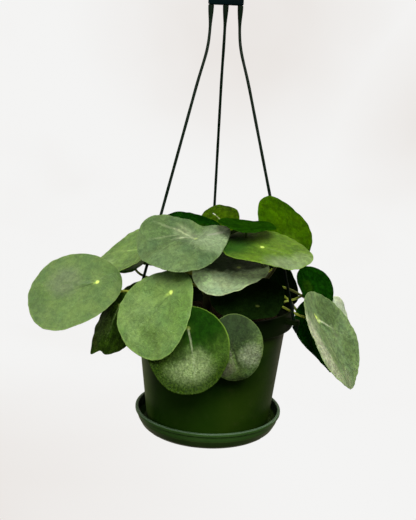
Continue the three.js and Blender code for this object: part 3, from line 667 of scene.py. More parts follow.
def blade_material(tone, upper):
    look = TONES[tone]
    base = rgb(look["colour"])
    if not upper:
        paler = tuple(0.75 * part + 0.03 for part in base)
        base = rgb(UNDERSIDES[tone]) if tone in UNDERSIDES else paler
    shader = new_material(f"blade_{tone}_{'upper' if upper else 'under'}")
    leaf = shader.node("UVMap", uv_map="blade")
    patch = shader.node("UVMap", uv_map="patch")
    rho = shader.node("Attribute", output="Fac", attribute_name="rho")
    along, across, _ = shader.parts(leaf)
    reach = shader.distance(leaf)
    angle = shader.math("ARCTAN2", across, along)
    vein = shader.times(vein_pattern(shader, patch, angle, reach), look["vein"],
                        shader.band(reach, 1.0, 3.5))

    # Puckers: soft cells between the finest veins, drawn out of round by a wobble.
    wobble = shader.noise(patch, 0.2, output="Color")
    warped = shader.vector("ADD", patch, shader.scaled(wobble, 5.0))
    cells = shader.voronoi(warped, 0.34 if look["quilt"] < 1 else 0.5)
    net = shader.band(cells, 0.0, 0.12, 1.0, 0.0)
    clouds = shader.band(shader.noise(patch, 0.07, 3.0), 0.32, 0.68)
    mottles = shader.band(shader.noise(warped, 0.26, 3.0, 0.6), 0.36, 0.64)
    streaks = shader.noise(warped, 0.55, 3.0, 0.6)
    grain = shader.noise(patch, 1.3, 4.0, 0.7)
    spoke = shader.node("CombineXYZ", {
        0: shader.times(shader.math("COSINE", angle), 7.0),
        1: shader.times(shader.math("SINE", angle), 7.0),
        2: shader.times(reach, 0.10)})
    rays = shader.times(shader.noise(spoke, 1.0, 4.0, 0.65),
                        shader.band(reach, 2.0, 12.0, 0.0, look["rays"]))

    colour = shader.mix(clouds, shifted(base, 0.82, -0.06), shifted(base, 1.08, 0.05))
    matte = 0.0
    if upper:
        colour, matte = painted_light_and_marks(shader, tone, base, colour, leaf, wobble)
    swing = 0.11 * look["mottle"] if upper else 0.1
    blotch = shader.mix(mottles, (1 - swing,) * 3, (1 + swing,) * 3)
    colour = shader.tinted(1.0, colour, blotch)
    crinkled = 0.0
    # Small specks of painted glints and painted shade where the leaf is puckered.
    if upper and tone in CRINKLES:
        crinkled = shader.band(along, *CRINKLES[tone])
        bead = shader.band(shader.noise(patch, 0.62, 4.0, 0.65), 0.36, 0.66)
        painted_glints = shader.mix(bead, *CRINKLE_GLINTS_AND_SHADE)
        colour = shader.tinted(shader.times(crinkled, 0.8), colour, painted_glints)
    for name, pattern in (("streaks", streaks), ("grain", grain), ("rays", rays)):
        low, high, tint = WEAR[name]
        colour = shader.tinted(shader.band(pattern, low, high, 0.0, 0.5), colour, tint)
    colour = shader.tinted(shader.times(net, 0.25 * look["vein"]), colour, NET_TINT)
    rib = look["rib"] if upper else 1.3
    colour = shader.tinted(shader.times(vein, 0.8), colour, (rib, rib, rib))

    # The pale dot over the petiole with its halo, and the edge.
    if upper:
        for near, far, strength, tint in ((1.6, 7.0, 0.45, shifted(base, 1.5, 0.1)),
                                          (1.0, 2.4, 1.0, PETIOLE_DOT)):
            dot = shader.band(reach, near, far, strength * look["dot"], 0.0)
            colour = shader.mix(dot, colour, tint)
    margin = (0.97, 0.998, 0.0, 0.45)
    if upper and tone == FRINGED:
        fringe = shader.times(shader.band(rho, 0.66, 0.93, 0.0, 0.95), shader.band(along, 16.0, 34.0))
        dark = shader.mix(bead, *FRINGE_COLOURS)
        colour = shader.mix(fringe, colour, dark)
        margin = (0.955, 0.985, 0.0, shader.band(along, 4.0, 26.0, 0.9, 0.05))
    colour = shader.mix(shader.band(rho, *margin), colour, shifted(base, 1.8, 0.1))

    low, high = (look["rough"] - 0.08, look["rough"] + 0.10) if upper else (0.58, 0.68)
    rough = shader.plus(shader.band(grain, 0.25, 0.75, low, high), shader.times(matte, 0.4), clamp=True)
    shader.set(Base_Color=colour, Roughness=rough, Specular_IOR_Level=look["gloss"] if upper else 0.0)
    lit_through = not upper and tone == LIT_THROUGH
    glow, depth = (0.9, 0.004) if lit_through else (look["glow"], 0.0012)
    shader.set(Subsurface_Weight=glow, Subsurface_Radius=(0.5, 1.0, 0.15), Subsurface_Scale=depth)

    quilt = look["quilt"]
    if tone in CRINKLES:
        quilt = shader.band(crinkled, 0.0, 1.0, 0.25, quilt)
    height = shader.plus(
        shader.times(shader.band(cells, 0.0, 0.45), quilt),
        shader.times(vein, -0.5 if upper else 0.9),
        shader.times(streaks, 0.35),
        shader.times(grain, 0.5),
        rays)
    shader.bump(height, 0.6, 0.0005)
    return shader.owner


def natural_material(name, grain, deep, pale, spots, spot_colour, bump, stretch=1.0, clods=0.0, **finish):
    """Grain between two colours, with soft spots of a third and, in soil, small clods."""
    shader = new_material(name)
    place = shader.place()
    pattern = shader.noise(shader.vector("MULTIPLY", place, (1.0, 1.0, stretch)), *grain)
    scale, detail, low, high, strength = spots
    spot = shader.times(shader.band(shader.noise(place, scale, detail), low, high), strength)
    shader.set(Base_Color=shader.mix(spot, shader.mix(pattern, deep, pale), spot_colour), **finish)
    if clods:
        pattern = shader.plus(pattern, shader.times(shader.voronoi(place, 170.0, "F1"), clods))
    shader.bump(pattern, *bump)
    return shader.owner


def petiole_material(name, deep, pale):
    return natural_material(
        name, (260.0, 3.0), deep, pale, (28.0, 1.0, 0.42, 0.62, 0.35), (0.20, 0.12, 0.06), (0.3, 0.0003),
        Roughness=0.45, Specular_IOR_Level=0.35,
        Subsurface_Weight=0.1, Subsurface_Radius=(0.6, 1.0, 0.3), Subsurface_Scale=0.001)


# The bark's colours are kept dark, painted shade for stems that stand under the leaves.
def bark_material():
    return natural_material(
        "bark", (420.0, 5.0, 0.65), (0.014, 0.011, 0.006), (0.085, 0.064, 0.034),
        (90.0, 2.0, 0.35, 0.65, 0.5), (0.10, 0.11, 0.04), (0.8, 0.0012),
        stretch=0.35, Roughness=0.85, Specular_IOR_Level=0.2)


def soil_material():
    return natural_material(
        "potting_soil", (330.0, 6.0, 0.7), (0.010, 0.006, 0.004), (0.075, 0.048, 0.028),
        (700.0, 2.0, 0.62, 0.7, 0.5), (0.16, 0.10, 0.05), (0.9, 0.0016),
        clods=0.8, Roughness=0.95, Specular_IOR_Level=0.15)


def perlite_material():
    shader = new_material("perlite")
    grain = shader.noise(shader.place(), 900.0, 3.0)
    colour = shader.mix(grain, (0.42, 0.38, 0.32), (0.72, 0.70, 0.66))
    shader.set(Base_Color=colour, Roughness=0.9)
    shader.bump(grain, 0.5, 0.0004)
    return shader.owner


def plastic_material(name, deep, pale, rough, gloss, dust, relief, painted_light=None):
    """Moulded plastic: a faint cloudiness, fine pitting, thin rubbed marks and dust.

    A function of the shader, the place and the colour may paint light and shade on single parts of it."""
    shader = new_material(name)
    place = shader.place()
    clouds = shader.noise(place, 22.0, 3.0)
    pits = shader.noise(place, 1500.0)
    drawn_out = shader.vector("MULTIPLY", place, (60.0, 60.0, 900.0))
    marks = shader.band(shader.noise(drawn_out, 1.0), 0.62, 0.72)
    powder = shader.band(shader.noise(place, 140.0, 5.0, 0.7), 0.5, 0.8)
    colour = shader.mix(shader.band(clouds, 0.3, 0.7), deep, pale)
    colour = shader.mix(shader.times(powder, dust), colour, (0.20, 0.17, 0.11))
    if painted_light:
        colour = painted_light(shader, place, colour)
    shader.set(Base_Color=colour, Specular_IOR_Level=gloss)
    rubbed = shader.times(marks, 0.5 * relief)
    shader.set(Roughness=shader.plus(shader.band(clouds, 0.3, 0.7, *rough), rubbed))
    shader.bump(shader.plus(shader.times(pits, 0.25), shader.times(marks, 0.3)), relief, 0.0003)
    return shader.owner


def pot_painted_light(shader, place, colour):
    """Painted shade on rim and foot, warm painted light on the right, a painted highlight at left."""
    x, _, height = shader.parts(place)
    # Painted warm light on the right half.
    side = shader.band(x, -0.006, 0.022, 0.0, 0.5)
    colour = shader.tinted(side, colour, (1.5, 0.95, 1.2))
    # A painted highlight along the left edge.
    painted_edge_highlight = shader.band(x, -0.059, -0.047, 0.7, 0.0)
    colour = shader.mix(painted_edge_highlight, colour, (0.084, 0.145, 0.034))
    # Painted shade on the rim and the foot.
    rim = shader.band(height, -0.3285, -0.3245)
    foot = shader.band(height, -0.4150, -0.4240)
    dark = shader.math("MAXIMUM", rim, foot)
    return shader.mix(shader.times(dark, 0.88), colour, (0.002, 0.005, 0.001))


def saucer_painted_light(shader, place, colour):
    """Painted light low on the side, painted shade above it and inside, a painted highlight on the lip."""
    height = shader.parts(place)[2]
    reach = shader.distance(shader.vector("MULTIPLY", place, (1.0, 1.0, 0.0)))
    # Painted light on the lower side, and painted shade on the side above it and the lip.
    lower = shader.band(height, -0.4200, -0.4192, 1.0, 0.0)
    colour = shader.tinted(1.0, colour, shader.mix(lower, (0.72, 0.76, 0.72), (3.6, 3.0, 2.6)))
    # A painted highlight along the top of the lip.
    lip = shader.band(height, -0.4120, -0.4114, 0.0, 0.8)
    colour = shader.mix(lip, colour, (0.085, 0.140, 0.090))
    # Painted shade inside the saucer.
    shaded_inside = shader.band(reach, 0.0660, 0.0668, 1.0, 0.0)
    above_base = shader.band(height, -0.4284, -0.4276)
    return shader.mix(shader.times(shaded_inside, above_base, 0.85), colour, (0.002, 0.006, 0.002))


# The pot, turned from its profile, with its drainage holes and lugs.
def pot_radius_at(height):
    share = (height + POT_HEIGHT) / (POT_HEIGHT - RIM_BAND_HEIGHT)
    return POT_BASE_RADIUS + (POT_TOP_RADIUS - POT_BASE_RADIUS) * share


def cylinder(name, radius, bottom, top, at=(0.0, 0.0), sides=24):
    sheet = Sheet()
    lathe(sheet, [(0, bottom), (radius, bottom), (radius, top), (0, top)], sides)
    for point in sheet.points:
        point.xy += Vector(at)
    return make_object(name, sheet)


def strand_lean(azimuth):
    """How a strand leans where it passes its lug, about the middle of the lug."""
    lean = math.atan2(LUG_RADIUS, STRAND_APEX + LUG_DROP)
    middle = Vector((0, 0, -LUG_DROP - LUG_THICKNESS / 2))
    turn = Matrix.Rotation(-lean, 4, polar(1, azimuth + 90))
    return Matrix.Translation(middle) @ turn @ Matrix.Translation(-middle)


def lug(azimuth):
    inner = RIM_RADIUS - LUG_ROOT
    half = LUG_WIDTH / 2
    end = [(LUG_RADIUS + half * math.cos(a), half * math.sin(a)) for a in radians(*range(-80, 81, 10))]
    outline = [(inner, -half), (LUG_RADIUS, -half), *end, (LUG_RADIUS, half), (inner, half)]
    return prism(f"lug_{azimuth}", outline, LUG_LOW, -LUG_DROP, turned(azimuth))


def make_pot(material):
    band_bottom = -RIM_BAND_HEIGHT
    shoulder = band_bottom + SHOULDER_FOOT
    profile = rounded([
        (0, -POT_HEIGHT),
        (POT_BASE_RADIUS - BASE_ROUND * 0.3, -POT_HEIGHT),
        (pot_radius_at(band_bottom), band_bottom),
        (RIM_RADIUS - EDGE_ROUND, band_bottom),
        (RIM_RADIUS, 0),
        (RIM_RADIUS - RIM_WALL, 0),
        (RIM_RADIUS - RIM_WALL - EDGE_ROUND, band_bottom + SHOULDER_TOP),
        (pot_radius_at(shoulder) - POT_WALL, shoulder),
        (pot_radius_at(POT_FLOOR_TOP + BASE_ROUND) - POT_WALL, POT_FLOOR_TOP),
        (0, POT_FLOOR_TOP),
    ], EDGE_ROUND)
    sheet = Sheet()
    lathe(sheet, profile, TURN_SEGMENTS)
    pot = make_object("plant_pot", sheet, [material])
    combine(pot, [lug(azimuth) for azimuth in STRAND_AZIMUTHS.values()], "UNION")
    drills = []
    for hole in range(DRAIN_HOLES):
        at = polar(DRAIN_RING_RADIUS, 360 * (hole + 0.25) / DRAIN_HOLES)
        drills.append(cylinder("drill", DRAIN_HOLE_RADIUS, -POT_HEIGHT - 1, POT_FLOOR_TOP + 1, at.xy))
    raise_up = Matrix.Translation((0, 0, HOOK_SEAT / 1000))
    for azimuth in STRAND_AZIMUTHS.values():
        drill = cylinder("drill", LUG_HOLE_RADIUS, -LUG_DROP - 2 * LUG_THICKNESS, 0)
        lean = strand_lean(azimuth)
        lean.translation = (lean.translation + polar(LUG_RADIUS, azimuth)) / 1000
        drill.data.transform(raise_up.inverted() @ lean @ raise_up)
        drills.append(drill)
    combine(pot, drills, "DIFFERENCE")
    shade(pot, SHARP_ANGLE)
    stand_for(pot, "pot")


def make_saucer(material):
    lip_top = SAUCER_BOTTOM + SAUCER_HEIGHT
    lip_foot = lip_top - SAUCER_LIP_HEIGHT
    floor_top = SAUCER_BOTTOM + SAUCER_WALL
    outer = [(SAUCER_BASE_RADIUS + out, SAUCER_BOTTOM + up) for out, up in SAUCER_SIDE]
    inner = [(radius - SAUCER_WALL, height) for radius, height in reversed(outer[1:-1])]
    profile = rounded([
        (0, SAUCER_BOTTOM),
        *outer,
        (SAUCER_LIP_RADIUS, lip_foot),
        (SAUCER_LIP_RADIUS, lip_top),
        (SAUCER_LIP_RADIUS - SAUCER_LIP_WIDTH, lip_top),
        *inner,
        (SAUCER_BASE_RADIUS - SAUCER_WALL, floor_top),
        (0, floor_top),
    ], EDGE_ROUND)
    sheet = Sheet()
    lathe(sheet, profile, TURN_SEGMENTS)
    saucer = make_object("drip_saucer", sheet, [material])
    half = TAB_WIDTH / 2
    near, far = TAB_RADIUS - TAB_THICKNESS / 2, TAB_RADIUS + TAB_THICKNESS / 2
    outline = [(near, -half), (far, -half), (far, half), (near, half)]
    low = SAUCER_BOTTOM + SAUCER_WALL / 2
    tabs = [prism(f"tab_{azimuth}", outline, low, low + TAB_HEIGHT, turned(azimuth))
            for azimuth in TAB_AZIMUTHS]
    for tab in tabs:
        bevel(tab, 0.35, segments=2)
    combine(saucer, tabs, "UNION")
    shade(saucer, SHARP_ANGLE)
    stand_for(saucer, "saucer")


# The stems and the soil.
def soil_top_at(radius):
    share = radius / POT_TOP_RADIUS
    return -SOIL_DROP - SOIL_DOME * share * share


def stem_path(stem):
    x, y = stem["foot"]
    top = Vector(stem["top"])
    surface = soil_top_at(math.hypot(x, y))
    return through([
        Vector((x, y, surface - STEM_SOIL_DEPTH)),
        Vector((x, y, surface - STEM_SOIL_DEPTH / 2)),
        Vector((x, y, surface + 2)),
        Vector(((x + top.x) / 2, (y + top.y) / 2, (surface + top.z) / 2 + 2)),
        top,
    ], 24)


def stem_radius_at(stem, share):
    taper = 1 - STEM_TAPER * max(0.0, 2 * share - 1)
    return stem["radius"] * taper * (1 - STEM_SWELLING * math.cos(TAU * STEM_SWELLINGS * share))


def stem_place(stem, height):
    """The stem's middle and radius at a height."""
    path = stem_path(stem)
    step = min(range(len(path)), key=lambda i: abs(path[i].z - height))
    return path[step].copy(), stem_radius_at(stem, step / (len(path) - 1))


def make_stem(name, material):
    """A stem with shallow leaf scars and rough bark."""
    stem = STEMS[name]

    def radius_at(share, centre):
        scar = 0.03 * math.sin(centre.z * 1.4) + 0.02 * math.sin(centre.z * 3.7 + 1)
        end = 1 - 0.35 * smoothstep(0.985, 1.0, share)
        return stem_radius_at(stem, share) * (0.97 + scar * 0.5) * end

    sheet = Sheet()
    tube(sheet, stem_path(stem), radius_at, 28, SIDEWAYS)
    for point in sheet.points:
        outward = point - Vector((*stem_place(stem, point.z)[0].xy, point.z))
        if outward.length > 0.5:
            point += outward.normalized() * (layered(point, BARK_ROUGHNESS) - 0.15)
    stand_for(make_object(f"woody_{name}", sheet, [material]), name)


def soil_lump(x, y):
    return math.sin(x * 0.31 + 1) * math.cos(y * 0.27)


def make_soil(soil, perlite):
    edge = pot_radius_at(-SOIL_DROP - SOIL_DOME) - SOIL_WALL_GAP
    base = POT_FLOOR_TOP + SOIL_FLOOR_GAP
    radii = [edge * (1 - i / SOIL_RINGS) for i in range(SOIL_RINGS)] + [0]
    profile = [(0, base), (POT_BASE_RADIUS - SOIL_WALL_GAP - SOIL_FOOT_INSET, base)]
    sheet = Sheet()
    lathe(sheet, profile + [(radius, soil_top_at(radius)) for radius in radii], 120)
    for point in sheet.points:
        radius = math.hypot(point.x, point.y)
        if point.z > soil_top_at(radius) - 1 and radius < edge - 1:
            lump = soil_lump(point.x, point.y) + 0.5 * math.sin(point.x * 0.7 - point.y * 0.6)
            lump += layered(point, SOIL_ROUGHNESS)
            point.z += lump * min(1.0, radius / 8) - 0.4
    noise.seed_set(CLOD_SEED)
    for i in range(CLODS):
        spot = noise.random_unit_vector().xy * (edge - 3)
        if any((spot - Vector(stem["foot"])).length < stem["radius"] + CLOD_STEM_GAP
               for stem in STEMS.values()):
            continue
        size = 0.7 + 1.1 * noise.random() ** 2
        centre = Vector((*spot, soil_top_at(spot.length) + soil_lump(*spot) * 0.8 - 0.2))
        add_clod(sheet, centre, size, 1 if i % CLODS_PER_PERLITE == 0 else 0)
    stand_for(make_object("potting_soil", sheet, [soil, perlite]), "soil")


def add_clod(sheet, centre, size, slot):
    """A small irregular eight-faced lump."""
    corners = []
    for direction in ((1, 0, 0), (-1, 0, 0), (0, 1, 0), (0, -1, 0), (0, 0, 1), (0, 0, -1)):
        jitter = noise.random_unit_vector() * CLOD_JITTER
        corners.append(centre + (Vector(direction) + jitter) * size * CLOD_RADIUS)
    first = sheet.add_points(corners)
    for a, b in ((0, 2), (2, 1), (1, 3), (3, 0)):
        sheet.add_face((first + a, first + b, first + 4), slot)
        sheet.add_face((first + b, first + a, first + 5), slot)


# The hanger's strands and hub.
def strand_radius(height):
    return LUG_RADIUS * (STRAND_APEX - height) / (STRAND_APEX + LUG_DROP + LUG_THICKNESS / 2)


def make_strand(name, material):
    azimuth = STRAND_AZIMUTHS[name]
    x = STRAND_OFFSETS[name] * STRAND_TOP_SPACING

    def on_line(height):
        return polar(strand_radius(height), azimuth, height)

    run = (STRAND_BEND_TOP - STRAND_BEND_END) / 2
    top = Vector((x, 0, HUB_BOTTOM - HUB_CLEARANCE))
    bend_top = Vector((x, 0, STRAND_BEND_TOP))
    bend_end = on_line(STRAND_BEND_END)
    foot = on_line(LUG_LOW - BARB_LENGTH)
    path = [top.lerp(bend_top, i / 12) for i in range(12)]
    pull = Vector((x, 0, STRAND_BEND_TOP - run))
    path += bezier(bend_top, pull, on_line(STRAND_BEND_END + run), bend_end, 24)
    path += [bend_end.lerp(foot, i / 60) for i in range(1, 61)]

    def strand_radius_at(share, centre):
        narrow = smoothstep(0, STRAND_TAPER, HUB_BOTTOM - centre.z)
        wobble = 0.04 * math.sin(centre.z * 0.21 + azimuth)
        return (STRAND_TOP_WIDTH + (STRAND_WIDTH - STRAND_TOP_WIDTH) * narrow) / 2 + wobble

    def barb_radius_at(share, centre):
        lip = 0.86 if share == 0 else 1.0
        return lip * (BARB_RADIUS + (BARB_TIP_RADIUS - BARB_RADIUS) * share)

    sheet = Sheet()
    tube(sheet, path, strand_radius_at, 14, SIDEWAYS)
    barb = [on_line(LUG_LOW - BARB_DROP - BARB_LENGTH * i / 6) for i in range(7)]
    tube(sheet, barb, barb_radius_at, 20, SIDEWAYS)
    stand_for(make_object(f"hanger_{name}", sheet, [material], SHARP_ANGLE), name)


def arc(radius, start, end, steps, centre=(0.0, HOOK_CENTRE)):
    points = []
    for step in range(steps + 1):
        angle = math.radians(start + (end - start) * step / steps)
        points.append((centre[0] + radius * math.cos(angle), centre[1] + radius * math.sin(angle)))
    return points


def curve(start, control, end, steps=8):
    points = []
    for step in range(1, steps + 1):
        t = step / steps
        points.append(tuple((1 - t) ** 2 * a + 2 * t * (1 - t) * b + t * t * c
                            for a, b, c in zip(start, control, end)))
    return points


def hub_outline():
    """The bar, the neck and the open hook in one outline, seen from the front."""
    half = HUB_WIDTH / 2
    top = HUB_BOTTOM + HUB_HEIGHT
    neck = HOOK_BAR / 2
    foot = HOOK_CENTRE - HOOK_OUTER
    corner = HUB_CORNER
    rise = top + HUB_RISE
    right = [(half - corner, HUB_BOTTOM), (half, HUB_BOTTOM + corner), (half, top - corner)]
    right += curve(right[-1], (half, top + corner), (half * 0.5, rise))
    right += curve(right[-1], (2 * neck, rise + 1), (neck, top + HOOK_NECK * 0.6))
    heel = arc(HOOK_OUTER, HOOK_HEEL, HOOK_HEEL, 1)[0]
    outline = right + [(neck, foot)]
    outline += curve(outline[-1], (neck + 1, foot + 2), heel)
    outline += arc(HOOK_OUTER, HOOK_HEEL, HOOK_MOUTH, 56)[1:]
    tip = polar(HOOK_RADIUS + neck, HOOK_MOUTH)
    outline += arc(neck, HOOK_MOUTH, HOOK_MOUTH + 180, 12, (tip.x, HOOK_CENTRE + tip.y))[1:-1]
    outline += arc(HOOK_RADIUS, HOOK_MOUTH, HOOK_HEEL - 20, 48)
    outline += curve(outline[-1], (-neck + 1, HOOK_CENTRE - HOOK_RADIUS), (-neck, foot))
    return outline + [(-x, z) for x, z in reversed(right)]


def make_hub(material):
    half = HUB_THICKNESS / 2
    hub = prism("hanger_bar_and_hook", hub_outline(), half, -half, lambda x, z, y: (x, y, z), [material])
    bevel(hub, 0.7, angle=50)
    shade(hub, SHARP_ANGLE)
    stand_for(hub, "hanger_hub")


# The leaves, in the order of their nodes: where the petiole meets the blade, the length,
# the way the upper face looks (facing and rise), the turn of the tip from straight down,
# the shape (width, petiole offset, narrowing), the bends (tip, base, left, right), the
# stem with the height and azimuth where the petiole leaves it, the petiole's arch and
# droop, and the tone.
LEAVES = [
    # Left and top left, then the three that hang in front.
    ((-101, -45, 24), 86, (-13, 44), 62, (0.93, 0.51, 0.1), (-5, -6, 5, -2), ("left", 8, 195), (6, 0),
     "fresh"),
    ((-69, 5, 44), 80, (-60, 55), 70, (0.94, 0.38, -0.05), (-1, 4, 3, 1), ("main", 20, 175), (10, 0),
     "side"),
    ((-16, -74, 72), 79, (-8, 86), 50, (0.92, 0.23, 0.35), (-14, 6.5, -12, 14), ("main", 34, 255),
     (12, 0), "sage"),
    ((-34, -104, 32), 76, (-32, 26), 23, (0.89, 0.5, 0.27), (-3, -5, 2, 2), ("left", 14, 262), (12, 0),
     "lime"),
    ((-19, -98, 1), 73, (6, 30), 0, (0.93, 0.47, -0.05), (-3, -1, 0, 1), ("left", 6, 300), (26, 0.5),
     "grass"),
    ((20, -96, -15), 58, (6, 0), -10, (0.83, 0.1, -0.1), (-10, -12, -6, -2), ("right", 2, 240), (12, 1.2),
     "dusky"),
    # Top middle and top right.
    ((21, -50, 43), 70, (2, 72), 38, (0.9, 0.37, -0.05), (-3, 0, 8, 4), ("main", 20, 290), (6, 0), "pale"),
    ((38, -80, 67), 75, (24, 68), -58, (0.92, 0.14, -0.09), (2, -7, -2, 5), ("right", 23, 285), (28, 0),
     "level"),
    ((3, 20, 71.5), 42, (-9, 49), 173, (0.91, 0.28, -0.06), (-6, 0, -3, 1), ("main", 38, 60), (12, 0),
     "olive"),
    ((25, -70, 83), 49, (4, 86.5), 94, (0.94, 0, 0.05), (3, 0, 0, 0), ("main", 37, 310), (14, 0), "leek"),
    ((63, -36, 72), 65, (32, 26), 156, (0.8, 0.18, -0.29), (-3, -2, -6, -3), ("right", 20, 10), (22, 0),
     "glow"),
    ((-18, -20, 73), 62, (-3, 72), 143, (0.91, 0.31, -0.05), (-4, -1, 0, -7), ("main", 38, 220), (12, 0),
     "deep"),
    # Right, from the small dark one to the one furthest round.
    ((89, -5, 18), 48, (38, 33), -89, (0.9, 0.29, 0), (-1, 5, -1, 0), ("right", -2, 8), (4, -1), "deep"),
    ((92, -42, 0), 93, (69, 34), -5, (0.92, 0.51, 0.05), (-2, 4, 12, 2), ("right", 5, 330), (5, 0.3),
     "silver"),
    ((96, -1, -24), 77, (59, 25), -50, (0.9, 0.34, -0.06), (-10, -6, 0, 6), ("right", 1, 24), (28, 1),
     "night"),
    ((119.5, 25, -13.5), 38, (45, 29), -62, (0.95, 0.24, 0), (-6, 0, 2, 0), ("right", 12, 38), (14, 0.4),
     "painted_bright"),
    # In the shade on the left and over the rim, and a small one seen from below.
    ((-82, -38, 2), 58, (-41, 30), -9, (0.91, 0.6, 0.14), (1, 2, 0, -5), ("left", 2, 220), (16, 0.4),
     "under"),
    ((38, -64, 13.4), 66, (6, 72), 150, (0.95, 0.46, 0), (-6, 0, -3, 9), ("right", 9, 275), (2, 0),
     "shade"),
    ((-77, 25, 28), 42, (-20, 80), 4, (0.91, 0.28, -0.07), (-1, 0, 6, 1), ("main", 10, 155), (8, 0), "low"),
    # Round the left side and the back, the low ones first.
    ((-92, 18, -12), 52, (-85, 26), 10, (0.92, 0.4, -0.05), (-5, -2, -2, -2), ("left", 2, 165), (20, 0.6),
     "back"),
    ((-76, 66, -12), 70, (-130, 28), -5, (0.93, 0.42, -0.05), (-6, -2, -1, -3), ("left", 12, 130),
     (22, 0.6), "back"),
    ((-42, 98, -8), 80, (-160, 24), 8, (0.92, 0.45, -0.05), (-5, -3, -3, -1), ("main", 2, 120), (34, 1),
     "back"),
    ((10, 108, 13), 82, (178, 32), -6, (0.93, 0.4, -0.06), (-8, -2, -2, -3), ("main", 10, 75), (20, 0.2),
     "back"),
    ((40, 106, -28), 70, (158, 26), 5, (0.92, 0.44, -0.04), (-6, -2, -1, -4), ("right", 2, 95), (34, 1),
     "back"),
    ((60, 70, 18), 62, (135, 30), 12, (0.91, 0.42, -0.05), (-5, -2, -3, -1), ("right", 15, 85), (12, 0.2),
     "back_dim"),
    # Higher at the back.
    ((-42, 58, 42), 78, (-150, 62), 10, (0.94, 0.36, -0.05), (-7, -3, -2, -3), ("main", 26, 130), (8, 0),
     "back"),
    ((40, 60, 56), 70, (155, 60), -12, (0.92, 0.38, -0.06), (-6, -2, -3, -2), ("main", 28, 50), (8, 0),
     "back"),
    ((-26, 48, 66), 40, (-170, 66), 20, (0.92, 0.3, -0.05), (-3, -1, 2, -2), ("main", 34, 140), (6, 0),
     "back"),
]


def blade_axes(look, turn):
    facing, rise = radians(*look)
    level = math.cos(rise)
    normal = Vector((level * math.sin(facing), -level * math.cos(facing), math.sin(rise)))
    down = Vector((math.sin(rise) * math.sin(facing), -math.sin(rise) * math.cos(facing), -level))
    beside = down.cross(normal)
    angle = math.radians(turn)
    tipward = down * math.cos(angle) + beside * math.sin(angle)
    return normal, tipward, tipward.cross(normal)


RINGS = (0.03, 0.06, 0.1, 0.15, 0.2, 0.26, 0.32, 0.38, 0.44, 0.5, 0.56, 0.62, 0.68, 0.74, 0.79,
         0.84, 0.88, 0.92, 0.95, 0.975, 0.99, 1.0)
SEGMENTS = 128

# Folds and ridges of single leaves: from a point of the blade to another, measured toward
# the tip and to the side from the petiole, with the width and the height.
FOLDS = {
    1: ((0, 0, 50, 8, 2.6, -1.4), (0, 0, 34, -22, 3.0, -0.8), (0, 0, 30, 26, 3.0, -0.8),
        (36, -24, 54, 10, 7.0, 1.6), (20, -20, 34, 20, 6.0, -1.0)),
    3: ((0, 0, 40, 10, 3.0, -1.2), (0, 0, 32, 26, 3.0, -1.0), (0, 0, 20, -26, 3.0, -1.2),
        (6, 2, 36, 18, 3.0, 0.8), (-4, 8, -24, 26, 8.0, -6.0)),
    4: ((0, 0, 52, 0, 3.0, -1.0), (0, 0, 36, 24, 3.0, -0.8), (0, 0, 30, -22, 3.0, -0.8),
        (42, -22, 38, 22, 6.0, -2.0), (26, -24, 26, 20, 6.0, 1.4)),
    5: ((0, 0, 34, 1, 2.2, 1.4), (4, 8, 38, 12, 5.0, -1.0), (4, -8, 38, -12, 5.0, -1.0)),
    6: ((0, 0, 24, 3, 2.5, -1.8), (0, 10, 18, 14, 5.0, 0.8)),
    14: ((0, 0, 56, 2, 3.0, -1.6), (0, 0, 40, 16, 3.0, -0.6), (0, 0, 40, -16, 3.0, -0.6)),
}

# Corners and bites of single leaves: the angle round the blade, the width and the reach.
CORNERS = {17: ((0.62, 0.16, 0.14), (0.22, 0.14, -0.05))}


